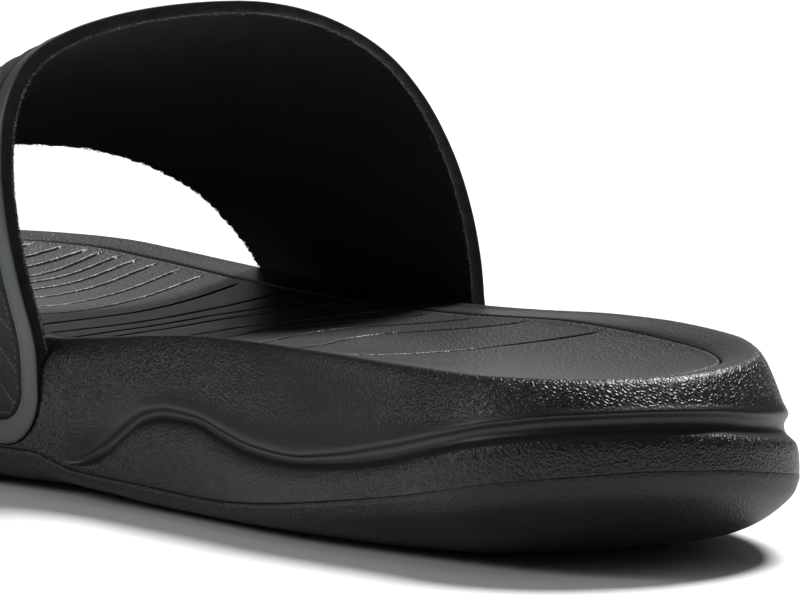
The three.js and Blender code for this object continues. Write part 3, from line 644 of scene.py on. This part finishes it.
def footbed_piece():
    """Closed insert: a plain underside and edge, and a top of triangles that hold the grooves."""
    sides = [inward(FOOTBED_EDGE, 1, under_footbed), inward(FOOTBED_EDGE, 0.5, under_footbed),
             ring(FOOTBED_EDGE, under_footbed)]
    sides += [ring(FOOTBED_EDGE + inset, S["bed"] - depth) for inset, depth in FOOTBED_PROFILE]
    border = sides[-1]
    bed = np.concatenate([inward(FOOTBED_EDGE, t, bed_height) for t in np.linspace(0, 1, BED_ROWS)])
    tree = BVHTree.FromPolygons(bed.tolist(), ring_faces(BED_ROWS, AROUND))
    points, drop = bed_points()
    flat = [Vector(p) for p in np.concatenate([border[:, :2], points]).tolist()]
    rim = [(i, (i + 1) % AROUND) for i in range(AROUND)]
    verts, _, faces, ids, _, _ = delaunay_2d_cdt(flat, rim, [], 1, 1e-5)
    top = []
    for v, source in zip(verts, ids):
        i = min(source) if source else -1
        if 0 <= i < AROUND:
            height = border[i, 2]
        else:
            hit = tree.ray_cast(Vector((v.x, v.y, 100.0)), Vector((0, 0, -1)))[0]
            height = (hit.z if hit else NO_BED) - (drop[i - AROUND] if i >= AROUND else 0)
        top.append((v.x, v.y, height))
    first = len(sides) * AROUND
    faces = ring_faces(len(sides), AROUND) + [[first + i for i in face] for face in faces]
    return add_mesh("insert", np.concatenate(sides + [np.array(top)]), faces)


footbed = weld(footbed_piece())


# Strap: u runs along the band from the medial to the lateral foot, and v from its rear to its front edge
def open_curve(values, u):
    """Catmull-Rom through evenly spaced values."""
    n = len(values)
    q = np.clip(u, 0, 1) * (n - 1)
    i = np.clip(q.astype(int), 0, n - 2)
    t = q - i
    ext = np.r_[2 * values[0] - values[1], values, 2 * values[-1] - values[-2]]
    p0, p1, p2, p3 = ext[i], ext[i + 1], ext[i + 2], ext[i + 3]
    v0 = (p2 - p0) / 2
    v1 = (p3 - p1) / 2
    return (2 * p1 - 2 * p2 + v0 + v1) * t**3 + (-3 * p1 + 3 * p2 - 2 * v0 - v1) * t**2 + v0 * t + p1


def strap_point(u, v):
    u, v = np.broadcast_arrays(np.asarray(u, float), np.asarray(v, float))
    at = [open_curve(STRAP[:, k], u) for k in range(STRAP.shape[1])]
    x = mix(at[REAR_X], at[FRONT_X], v) * HALF_BALL
    y = mix(at[REAR_Y], at[FRONT_Y], v) * LENGTH
    z = mix(at[REAR_Z], at[FRONT_Z], v) * STRAP_TOP
    on_wall = 1 - smooth(RIM * 0.6, RIM * 0.95, z)
    wall = np.where(u < 0.5, -(half_width(-1, y) + PROUD), half_width(1, y) + PROUD)
    return np.stack([mix(x, wall, on_wall), y, z], -1)


def strap_normal(u, v):
    e = 0.004
    a = strap_point(u + e, v) - strap_point(u - e, v)
    b = strap_point(u, v + e) - strap_point(u, v - e)
    n = np.cross(a, b)
    return n / np.linalg.norm(n, axis=-1, keepdims=True)


def strap_at(u, v, depth):
    """Points at a depth under the strap's outer face, with the band's soft crown."""
    p = strap_point(u, v)
    n = strap_normal(np.clip(u, 0.005, 0.995), v)
    crown = CROWN * np.sin(np.pi * np.clip(v, 0, 1)) * smooth(RIM * 0.95, STRAP_TOP * 0.62, p[..., 2])
    return p + n * (crown - depth)[..., None]


ROWS = len(STRAP) - 1
first_rise = STRAP[1, REAR_Z] - STRAP[0, REAR_Z]
foot_u = (STRAP_FOOT / STRAP_TOP - STRAP[0, REAR_Z]) / first_rise / ROWS
u_per_mm = 1 / ROWS / (first_rise * STRAP_TOP)
medial_wide = (STRAP[1, FRONT_Y] - STRAP[1, REAR_Y]) * LENGTH
lateral_wide = (STRAP[19, FRONT_Y] - STRAP[19, REAR_Y]) * LENGTH


def wide_at(u):
    return np.where(u < 0.5, medial_wide, lateral_wide)


def rounded(set_in, corner, count):
    """Rows u and the first v of each row, for a band set in from its edges with round corners."""
    start = foot_u + set_in * u_per_mm
    end = 1 - start
    arc = (1 - np.cos(np.linspace(0, np.pi / 2, 14))) * corner * u_per_mm
    middle = np.linspace(start + corner * u_per_mm, end - corner * u_per_mm, count)[1:-1]
    rows = np.r_[start + arc, middle, end - arc[::-1]]
    near = np.minimum(rows - start, end - rows) / u_per_mm
    gone = np.where(near < corner, corner - np.sqrt(np.maximum(0, corner**2 - (corner - near) ** 2)), 0)
    return rows, (set_in + gone) / wide_at(rows)


def spread(rows, v0, columns):
    """Grid of u and v over the rows, with columns as shares of each row's width."""
    u = np.repeat(rows[:, None], len(columns), 1)
    return u, mix(v0[:, None], 1 - v0[:, None], columns[None, :])


def edge_distance(u, v):
    """Distance in mm of each point of a grid from the grid's border."""
    across = np.minimum(v - v[:, :1], v[:, -1:] - v) * wide_at(u)
    return np.minimum(across, np.minimum(u - u[0], u[-1] - u) / u_per_mm)


LOOP_ALONG, LOOP_ACROSS, LOOP_ROUND = 260, 60, 12


def loop(set_in, corner):
    """Closed loop of (u, v) round the band at an inset from its edges."""
    start = foot_u + set_in * u_per_mm
    end = 1 - start
    cu = corner * u_per_mm
    rear = np.linspace(start + cu, end - cu, LOOP_ALONG)
    in_v = set_in / wide_at(rear)
    s0, s1 = (float(set_in / wide_at(u)) for u in (start, end))
    c0, c1 = (float(corner / wide_at(u)) for u in (start, end))
    turn = np.linspace(0, np.pi / 2, LOOP_ROUND)[1:]
    sin, cos = np.sin(turn), np.cos(turn)
    up = np.linspace(s1 + c1, 1 - s1 - c1, LOOP_ACROSS)[1:]
    down = np.linspace(1 - s0 - c0, s0 + c0, LOOP_ACROSS)[1:]
    parts = (
        (rear, in_v), (end - cu + sin * cu, s1 + c1 * (1 - cos)), (end + 0 * up, up),
        (end - cu + cos * cu, 1 - s1 - c1 * (1 - sin)), (rear[::-1][1:], 1 - in_v[::-1][1:]),
        (start + cu - sin * cu, 1 - s0 - c0 * (1 - cos)), (start + 0 * down, down),
        ((start + cu - cos * cu)[:-1], (s0 + c0 * (1 - sin))[:-1]),
    )
    return np.concatenate([np.stack(part, -1) for part in parts])


FOAM_OUT = SKIN_WALL + MEET
FOAM_IN = FOAM_OUT + STRAP_WALL
FOAM_RIM = 0.30
BAND_ROWS = 430
BAND_COLUMNS = 32
# More columns by the edges, as shares of the width, and rows through the cut edge.
BY_EDGE = np.array([0.005, 0.010, 0.0125, 0.016])
THROUGH = (0.06, 0.2, 0.4, 0.6, 0.8, 0.92)
EDGE_BULGE = 0.25


def band_piece():
    """Foam band: its rim comes up beside the trim, and the lining is ragged at the front and rear edges."""
    rows, v0 = rounded(0, STRAP_CORNER, BAND_ROWS)
    columns = np.sort(np.r_[np.linspace(0, 1, BAND_COLUMNS), BY_EDGE, 1 - BY_EDGE])
    torn = np.convolve(rng.normal(0, 1, len(rows) + 4), [0.2, 0.6, 0.6, 0.2], "same")[2:-2]
    u, v = spread(rows, v0, columns)
    from_edge = edge_distance(u, v)
    outer = strap_at(u, v, mix(FOAM_RIM, FOAM_OUT, smooth(0.80, 1.05, from_edge))).reshape(-1, 3)
    ragged = np.where(columns > 0.98, 0.34, np.where(columns < 0.02, -0.10, 0))
    inner = strap_at(u, v + np.clip(torn, -1.6, 1.6)[:, None] * ragged / wide_at(u), FOAM_IN).reshape(-1, 3)
    quads, border = sheet_faces(*u.shape)
    faces = quads.tolist() + (quads[:, ::-1] + u.size).tolist()
    top, low = outer[border], inner[border]
    middle = (top + low) / 2
    side = np.cross(np.roll(middle, -1, 0) - np.roll(middle, 1, 0), top - low)
    side /= np.maximum(np.linalg.norm(side, axis=1, keepdims=True), 1e-9)
    verts = [outer, inner]
    previous = border
    for k, share in enumerate(THROUGH):
        verts.append(mix(top, low, share) + side * EDGE_BULGE * math.sin(math.pi * share))
        current = np.arange(len(border)) + 2 * u.size + k * len(border)
        faces += edge_faces(previous, current)
        previous = current
    faces += edge_faces(previous, border + u.size)
    ob = add_mesh("band", np.concatenate(verts), faces)
    none, all_in, rim = np.zeros(u.size), np.ones(u.size), np.repeat(THROUGH, len(border))
    point_attribute(ob, "inner", np.r_[none, all_in, 0 * rim])
    point_attribute(ob, "through", np.r_[none, all_in, rim])
    point_attribute(ob, "from_edge", np.r_[none, from_edge.reshape(-1), 0 * rim])
    return ob


band = weld(band_piece())

POCKET_GAP = 0.22
POCKET_REACH = 0.19
POCKET_DEPTHS = (-4.0, FOAM_IN + 0.2)


def pocket_tool(side):
    """Closed block that the strap's foot needs in the wall."""
    rows, v0 = rounded(-POCKET_GAP, STRAP_CORNER + POCKET_GAP, 60)
    near = rows < POCKET_REACH if side < 0 else rows > 1 - POCKET_REACH
    u, v = spread(rows[near], v0[near], np.linspace(0, 1, 24))
    quads, border = sheet_faces(*u.shape)
    faces = quads.tolist() + (quads[:, ::-1] + u.size).tolist() + edge_faces(border, border + u.size)
    verts = [strap_at(u, v, depth).reshape(-1, 3) for depth in POCKET_DEPTHS]
    return weld(add_mesh("pocket_tool", np.concatenate(verts), faces))


for side in (-1, 1):
    cut(sole_wall, pocket_tool(side))

# The trim's section: share of the way from its outer to its inner edge, and depth in mm.
TRIM_PROFILE = (
    (0.0, 0.27), (0.0, 0.18), (0.03, 0.08), (0.10, 0.0), (0.3, -0.02), (0.6, -0.02), (0.80, 0.0),
    (0.86, -0.03), (0.92, -0.11), (0.97, -0.05), (1.0, 0.14), (1.0, 0.58), (0.30, 0.58), (0.27, 0.27),
)
INNER_CORNER = STRAP_CORNER - 4


def trim_piece():
    """Film frame round the outside of the strap, with a fine bead along its inner edge."""
    outer = loop(0.0, STRAP_CORNER)
    inner = loop(TRIM_BAND, INNER_CORNER)
    rings = [strap_at(*mix(outer, inner, share).T, depth) for share, depth in TRIM_PROFILE]
    return add_mesh("trim", np.concatenate(rings), ring_faces(len(rings), len(outer), True))


trim = weld(trim_piece())

PANEL_GAP = 0.12
PANEL_ROWS = 400
PANEL_COLUMNS = 215
RIB_PITCH = 4.3
RIB_ACROSS = 0.75
RIB_ALONG = 0.66
RIB_HIGH = 0.22


def run_along(face, axis):
    """Distance in mm over a sheet of points from its middle line, along one axis of its grid."""
    steps = np.linalg.norm(np.diff(face, axis=axis), axis=2)
    total = np.cumsum(np.insert(steps, 0, 0, axis=axis), axis=axis)
    return total - np.take(total, [total.shape[axis] // 2], axis=axis)


def panel_piece():
    """Ribbed textile between the arms of the trim. The ribs cross the band on a slant."""
    rows, v0 = rounded(TRIM_BAND + PANEL_GAP, INNER_CORNER - PANEL_GAP, PANEL_ROWS)
    u, v = spread(rows, v0, np.linspace(0, 1, PANEL_COLUMNS))
    border = edge_distance(u, v)
    face = strap_at(u, v, 0)
    along, across = run_along(face, 0), run_along(face, 1)
    slant = (RIB_ACROSS * across - RIB_ALONG * along) / RIB_PITCH
    cross = RIB_ALONG * across + RIB_ACROSS * along
    rib = (0.5 + 0.5 * np.cos(2 * np.pi * slant)) ** 0.7 * smooth(0.0, 1.6, border)
    outer = strap_at(u, v, 0.02 + 0.42 * (1 - smooth(0, 0.7, border)) - RIB_HIGH * rib).reshape(-1, 3)
    quads, rim = sheet_faces(*u.shape)
    low = strap_at(u, v, SKIN_WALL).reshape(-1, 3)[rim]
    faces = quads.tolist() + edge_faces(rim, np.arange(len(rim)) + u.size)
    ob = add_mesh("panel", np.concatenate([outer, low]), faces)
    for label, values in (("slant", slant), ("cross", cross), ("border", border), ("along", along)):
        point_attribute(ob, label, np.r_[values.reshape(-1), values.reshape(-1)[rim]])
    return ob


panel = panel_piece()

FIBRES = 18000
FIBRE_DEPTH = 0.45
FIBRE_IN = 0.016
FIBRE_LENGTH = 0.2
FIBRE_LONGER = 0.6
FIBRE_HALF = 0.028
NO_FIBRE_UNDER = 8


def unit(v):
    return v / np.maximum(np.linalg.norm(v, axis=1, keepdims=True), 1e-9)


def lining_fibres(count):
    """Short fibres that stand out of the lining where it is cut, as joined thin strips."""
    edge_uv = loop(0.0, STRAP_CORNER)
    pick = rng.integers(0, len(edge_uv), count)
    uv = mix(edge_uv[pick], edge_uv[(pick + 1) % len(edge_uv)], rng.random(count)[:, None])
    u, v = uv.T
    depth = FOAM_IN - rng.random(count) * FIBRE_DEPTH
    inside = np.sign(0.5 - v)
    root = strap_at(u, v + inside * (rng.random(count) ** 4 * FIBRE_IN), depth)
    normal = -strap_normal(np.clip(u, 0.01, 0.99), v)
    outward = unit(root - strap_at(u, np.clip(v + inside * 0.02, 0, 1), depth))
    tilt = rng.normal(0, 1, (count, 3))
    direction = outward * (0.2 + 0.5 * rng.random((count, 1)))
    direction += normal * (0.15 + 0.55 * rng.random((count, 1)))
    direction += np.cross(outward, normal) * tilt[:, :1] * 0.8
    direction /= np.linalg.norm(direction, axis=1, keepdims=True)
    curl = rng.normal(0, 0.45, (count, 3))
    length = (FIBRE_LENGTH + FIBRE_LONGER * rng.random(count) ** 3)[:, None]
    half = unit(np.cross(direction, normal + 0.3 * tilt)) * (FIBRE_HALF + 0.03 * rng.random((count, 1)))
    middle = root + direction * length * 0.5
    tip = middle + (direction + curl) * length * 0.5
    verts = np.stack([root - half, root + half, middle - half * 0.8, middle + half * 0.8, tip], 1)
    verts = verts[root[:, 2] >= NO_FIBRE_UNDER]
    k = np.arange(len(verts)) * verts.shape[1]
    quads = np.stack([k, k + 1, k + 3, k + 2], -1).tolist()
    tips = np.stack([k + 2, k + 3, k + 4], -1).tolist()
    return add_mesh("lining_fibres", verts.reshape(-1, 3), quads + tips)


fibres = lining_fibres(FIBRES)


# Materials
class Nodes:
    """Short ways to add nodes to one tree."""

    def __init__(self, tree):
        self.tree = tree

    def add(self, kind, **inputs):
        n = self.tree.nodes.new(kind)
        for key, value in inputs.items():
            if key in n.inputs:
                n.inputs[key].default_value = value
            else:
                setattr(n, key, value)
        return n

    def feed(self, socket, value):
        """Links an input to another node's output, or sets it to a number or vector."""
        if isinstance(value, bpy.types.NodeSocket):
            self.tree.links.new(value, socket)
        else:
            socket.default_value = value

    def math(self, operation, *values, kind="ShaderNodeMath", output=0):
        n = self.add(kind, operation=operation)
        for socket, value in zip(n.inputs, values):
            self.feed(socket, value)
        return n.outputs[output]

    def add_scaled(self, a, by, b):
        """a times by, plus b."""
        return self.math("MULTIPLY_ADD", a, by, b)

    def times(self, a, b):
        return self.math("MULTIPLY", a, b)


class Look(Nodes):
    """A new material with the object's own coordinates."""

    def __init__(self, name):
        self.material = bpy.data.materials.new(name)
        self.material.use_nodes = True
        super().__init__(self.material.node_tree)
        self.coord = self.add("ShaderNodeTexCoord").outputs["Object"]

    def attribute(self, name):
        return self.add("ShaderNodeAttribute", attribute_name=name).outputs["Fac"]

    def noise(self, scale, detail=2.0, rough=0.5, vector=None):
        n = self.add("ShaderNodeTexNoise", Scale=scale, Detail=detail, Roughness=rough)
        self.feed(n.inputs["Vector"], vector or self.coord)
        return n.outputs["Fac"]

    def ramp(self, value, low, first, high, second):
        """Goes from one colour at low to another at high. A single number is a grey."""
        n = self.add("ShaderNodeValToRGB")
        self.feed(n.inputs["Fac"], value)
        for element, at, colour in zip(n.color_ramp.elements, (low, high), (first, second)):
            element.position = at
            element.color = (*np.broadcast_to(colour, 3).tolist(), 1)
        return n.outputs["Color"]

    def blend(self, share, first, second):
        """Mixes a colour of the tree with a fixed one."""
        n = self.add("ShaderNodeMix", data_type="RGBA")
        for key, value in (("Factor", share), (6, first), (7, (*second, 1))):
            self.feed(n.inputs[key], value)
        return n.outputs[2]

    def bump(self, height, strength, distance, under=None):
        n = self.add("ShaderNodeBump", Strength=strength, Distance=distance)
        self.feed(n.inputs["Height"], height)
        if under:
            self.feed(n.inputs["Normal"], under)
        return n.outputs["Normal"]

    def finish(self, colour, rough, shine, normal=None, **more):
        shader = self.tree.nodes["Principled BSDF"]
        self.feed(shader.inputs["Base Color"], colour)
        self.feed(shader.inputs["Roughness"], rough)
        shader.inputs["Specular IOR Level"].default_value = shine
        if normal:
            self.feed(shader.inputs["Normal"], normal)
        for name, value in more.items():
            shader.inputs[name.replace("_", " ")].default_value = value
        return self.material


WORM_SCALE = 1.38
WORM_BANDS = 1.35
WORM_STRETCH = (1.0, 0.62, 1.0)
WALL_PITCH = 0.00085
BED_PITCH = 0.0008


def worms(look, pitch):
    """Wrinkled mould grain: short winding ridges about pitch metres apart."""
    stretched = look.math("MULTIPLY", look.coord, WORM_STRETCH, kind="ShaderNodeVectorMath")
    field = look.noise(WORM_SCALE / pitch, 0.0, vector=stretched)
    return look.add_scaled(look.math("SINE", look.times(field, WORM_BANDS * 2 * math.pi)), 0.5, 0.5)


def foam(name, dark, light, rough, shine, crinkle, grain_depth=0, painted_bounce=None):
    """Moulded foam with soft mottling and a fine crinkle. With a grain depth it has worm grain where the
    mould has it, and without one a low grain all over."""
    look = Look(name)
    mottle = look.noise(55.0, 3.0)
    colour = look.ramp(mottle, 0.3, dark, 0.72, light)
    # A given paler colour is blended in where the grain values are high: this is painted bounce light from
    # the floor.
    if painted_bounce:
        colour = look.blend(look.ramp(look.attribute("grain"), 0.35, 0.0, 0.95, 1.0), colour, painted_bounce)
    skin = look.add_scaled(look.noise(5200.0, 1.0), 0.25, look.noise(1500.0, 2.0, 0.6))
    if grain_depth:
        shaped = look.math("SMOOTH_MIN", worms(look, WALL_PITCH), 0.62, 0.25)
        grain = look.times(shaped, look.attribute("grain"))
        normal = look.bump(grain, 1.0, grain_depth)
        rough_at = look.add_scaled(grain, -0.10, rough + 0.05)
    else:
        normal = look.bump(worms(look, BED_PITCH), 0.8, 0.00009)
        rough_at = look.add_scaled(mottle, 0.12, rough - 0.06)
    return look.finish(colour, rough_at, shine, look.bump(skin, crinkle, 0.00006, normal))


def trim_look():
    look = Look("trim_look")
    colour = look.ramp(look.noise(90.0), 0.3, (0.046, 0.054, 0.052), 0.7, (0.056, 0.064, 0.061))
    return look.finish(colour, 0.42, 0.45, look.bump(look.noise(1800.0), 0.25, 0.00003))


def cut_look():
    """Cut edge of the strap's foam: fine open cells, slightly warm, with a paler fuzzy line by the lining."""
    look = Look("strap_foam_look")
    cells = look.add("ShaderNodeTexVoronoi", Scale=2600.0)
    look.feed(cells.inputs["Vector"], look.coord)
    mottle = look.noise(420.0, 3.0, 0.65)
    foam_colour = look.ramp(mottle, 0.3, (0.015, 0.014, 0.0128), 0.7, (0.027, 0.0255, 0.0235))
    place = look.add_scaled(look.noise(900.0), 0.30, look.math("ADD", look.attribute("through"), -0.15))
    fuzz = look.ramp(place, 0.84, 0.0, 0.93, 1.0)
    colour = look.blend(fuzz, foam_colour, (0.042, 0.042, 0.043))
    height = look.add_scaled(fuzz, 1.2, look.add_scaled(mottle, 0.8, cells.outputs["Distance"]))
    return look.finish(colour, 0.88, 0.2, look.bump(height, 0.55, 0.00016))


def lining_look():
    """Brushed black lining: a short tangled nap, paler where it frays at the cut edge."""
    look = Look("strap_lining_look")
    nap = look.noise(1300.0, 4.0, 0.7)
    ragged = look.math("ADD", look.add_scaled(nap, -0.9, look.attribute("from_edge")), 0.45)
    fray = look.ramp(ragged, 0.12, 1.0, 0.42, 0.0)
    patchy = look.add_scaled(nap, 0.6, look.times(look.noise(70.0, 3.0), 0.4))
    black = look.ramp(patchy, 0.32, (0.0020, 0.0022, 0.0025), 0.70, (0.0080, 0.0085, 0.0091))
    colour = look.blend(fray, black, (0.022, 0.022, 0.023))
    normal = look.bump(nap, 0.8, 0.0003)
    return look.finish(colour, 0.96, 0.08, normal, Sheen_Weight=0.05, Sheen_Roughness=0.6)


def fibre_look():
    look = Look("fibre_look")
    colour = look.ramp(look.noise(2600.0, 1.0), 0.40, (0.014, 0.014, 0.0145), 0.62, (0.34, 0.34, 0.345))
    return look.finish(colour, 0.8, 0.2)


ROW_HALF = 0.055
ROW_AT = 0.465
DASH_SHARE = 0.62
DASHES_PER_MM = 0.98
TRIM_ROW_AT = 1.25
TRIM_ROW_HALF = 0.16
TRIM_DASH_SHARE = 0.35
TRIM_DASHES_PER_MM = 0.75
CLEAR_OF_TRIM = 1.1
THREAD_ACROSS = 0.42
THREAD_ALONG = 0.55


def panel_look():
    """Dark ribbed textile: fine cross threads, a row of short pale threads along each rib, and one by the
    trim."""
    look = Look("panel_look")
    slant, cross, border = (look.attribute(n) for n in ("slant", "cross", "border"))
    wobble = look.noise(700.0)

    def apart(value, middle):
        return look.math("ABSOLUTE", look.math("SUBTRACT", value, middle))

    def dashes(share, phase):
        return look.math("LESS_THAN", look.math("FRACT", phase), share)
    in_rib = look.math("FRACT", look.math("ADD", look.add_scaled(wobble, 0.07, slant), ROW_AT))
    on_row = look.math("LESS_THAN", apart(in_rib, 0.5), ROW_HALF)
    rib_phase = look.add_scaled(wobble, 0.5, look.times(cross, DASHES_PER_MM))
    row = look.times(on_row, dashes(DASH_SHARE, rib_phase))
    row = look.times(row, look.math("GREATER_THAN", border, CLEAR_OF_TRIM))
    on_trim = look.math("LESS_THAN", apart(border, TRIM_ROW_AT), TRIM_ROW_HALF)
    phase = look.add_scaled(wobble, 0.8, look.times(look.attribute("along"), TRIM_DASHES_PER_MM))
    threads = look.math("MAXIMUM", row, look.times(on_trim, dashes(TRIM_DASH_SHARE, phase)))
    weft = look.math("SINE", look.times(cross, 2 * math.pi / THREAD_ACROSS))
    warp = look.math("SINE", look.times(slant, 2 * math.pi * RIB_PITCH / THREAD_ALONG))
    weave = look.times(weft, warp)
    mottle = look.noise(900.0, 3.0, 0.65)
    cloth = look.ramp(look.add_scaled(weave, 0.12, mottle), 0.3, (0.0068, 0.0068, 0.0074),
                      0.75, (0.0185, 0.0185, 0.0195))
    colour = look.blend(look.times(threads, look.add_scaled(mottle, 1.0, 0.25)), cloth, (0.088, 0.088, 0.090))
    height = look.add_scaled(threads, 1.4, look.add_scaled(weave, 0.35, mottle))
    return look.finish(colour, 0.7, 0.35, look.bump(height, 0.8, 0.00014))


mat_wall = foam("midsole_foam_look", (0.0060, 0.0062, 0.0061), (0.0092, 0.0094, 0.0092), 0.35, 0.33, 0.35,
                0.00017)
# The outsole's last colour is painted bounce light from the floor, a paler tone blended in on its side from
# the waist to the toe.
mat_base = foam("outsole_foam_look", (0.0070, 0.0068, 0.0056), (0.0105, 0.0101, 0.0084), 0.42, 0.30, 0.5,
                0.00026, (0.030, 0.029, 0.024))
mat_bed = foam("footbed_foam_look", (0.0115, 0.0112, 0.0107), (0.0165, 0.0160, 0.0152), 0.44, 0.40, 1.0)

for ob, looks in ((sole_base, [mat_base]), (sole_wall, [mat_wall]), (footbed, [mat_bed]),
                  (trim, [trim_look()]), (panel, [panel_look()]), (fibres, [fibre_look()]),
                  (band, [cut_look(), lining_look()])):
    ob.data.materials.clear()
    for look in looks:
        ob.data.materials.append(look)
on_inside = np.zeros(len(band.data.vertices), np.float32)
band.data.attributes["inner"].data.foreach_get("value", on_inside)
for poly in band.data.polygons:
    if all(on_inside[v] > 0.5 for v in poly.vertices):
        poly.material_index = 1

for ob, cad, slot in ((sole_base, "outsole", "outsole_foam"), (sole_wall, "midsole", "midsole_foam"),
                      (footbed, "footbed", "footbed_foam"), (band, "strap", "strap_foam"),
                      (trim, "strap_trim", "trim_film"), (panel, "strap_panel", "panel_textile")):
    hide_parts(cad)
    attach(ob, "root")
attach(fibres, "root")

# Floor, light and camera, in metres
FLOOR_HALF = 30
FLOOR_Z = -0.0002


def floor():
    me = bpy.data.meshes.new("floor")
    corners = [(x * FLOOR_HALF, y * FLOOR_HALF, FLOOR_Z) for x, y in ((-1, -1), (1, -1), (1, 1), (-1, 1))]
    me.from_pydata(corners, [], [(0, 1, 2, 3)])
    me.update()
    me.materials.append(Look("floor_paper").finish((0.93, 0.93, 0.93, 1), 0.9, 0.1))
    ob = add_object("floor", me)


floor()

ROOM_LIGHT = 0.055
ROOM = (  # direction that the light comes from, sharpness, radiance
    ((0.55, 0.82, 0.07), 12.0, 0.5),
    ((0.0, 0.0, 1.0), 4.0, 0.26),
    ((-0.61, 0.70, 0.0), 14.0, 0.11),
)
SUN_FROM = (0.60, 0.30, 1.0)
SUN_ANGLE = 20
SUN_POWER = 4.6
SIDE_AT = (-0.82, 0.47, 0.58)
SIDE_TO = (-0.04, -0.03, 0.03)
SIDE_POWER = 2.6


def studio():
    """Dim room with a bright paper wall beyond the toe, a dimmer ceiling and a faint low wall beside it."""
    world = bpy.data.worlds.new("studio")
    bpy.context.scene.world = world
    world.use_nodes = True
    room = Nodes(world.node_tree)
    toward = room.add("ShaderNodeTexCoord").outputs["Generated"]
    total = ROOM_LIGHT
    for source, sharp, radiance in ROOM:
        facing = room.math("DOT_PRODUCT", toward, Vector(source).normalized(),
                           kind="ShaderNodeVectorMath", output="Value")
        lobe = room.math("POWER", room.math("MAXIMUM", facing, 0.0), sharp)
        total = room.add_scaled(lobe, radiance, total)
    background = world.node_tree.nodes["Background"]
    background.inputs["Color"].default_value = (1, 1, 1, 1)
    room.feed(background.inputs["Strength"], total)


def light(name, kind, power, facing, place=(0, 0, 0), **settings):
    data = bpy.data.lights.new(name, kind)
    data.energy = power
    for key, value in settings.items():
        setattr(data, key, value)
    ob = add_object(name, data)
    ob.location = place
    ob.rotation_euler = Vector(facing).to_track_quat("-Z", "Y").to_euler()


studio()
light("overhead", "SUN", SUN_POWER, -Vector(SUN_FROM), angle=math.radians(SUN_ANGLE))
light("side_box", "AREA", SIDE_POWER, Vector(SIDE_TO) - Vector(SIDE_AT), SIDE_AT, shape="RECTANGLE",
      size=0.28, size_y=0.42, color=(0.93, 0.97, 1.0))

TURN = math.radians(-34.45)
RISE = math.radians(6.31)
ROLL = math.radians(-0.07)
EYE = (-940.38, -1275.15, 222.25)
FOCAL_PIXELS = 9361.54
FRAME_PIXELS = 809
SENSOR = 36


def camera():
    """Long lens low behind the heel, on the medial side. EYE is in the shoe's own frame."""
    back = Vector((math.sin(TURN) * math.cos(RISE), -math.cos(TURN) * math.cos(RISE), math.sin(RISE)))
    right = (-back).cross(Vector((0, 0, 1))).normalized()
    up = right.cross(-back).normalized()
    x = right * math.cos(ROLL) + up * math.sin(ROLL)
    y = -right * math.sin(ROLL) + up * math.cos(ROLL)
    at = (Vector(EYE) + Vector(SHIFT.tolist())) / MM
    data = bpy.data.cameras.new("camera")
    data.sensor_width = SENSOR
    data.lens = FOCAL_PIXELS * SENSOR / FRAME_PIXELS
    data.clip_start = 0.05
    data.clip_end = 50
    ob = add_object("camera", data)
    ob.matrix_world = Matrix([(x[k], y[k], back[k], at[k]) for k in range(3)] + [(0, 0, 0, 1)])
    bpy.context.scene.camera = ob


camera()
bpy.context.scene.view_settings.view_transform = "Standard"
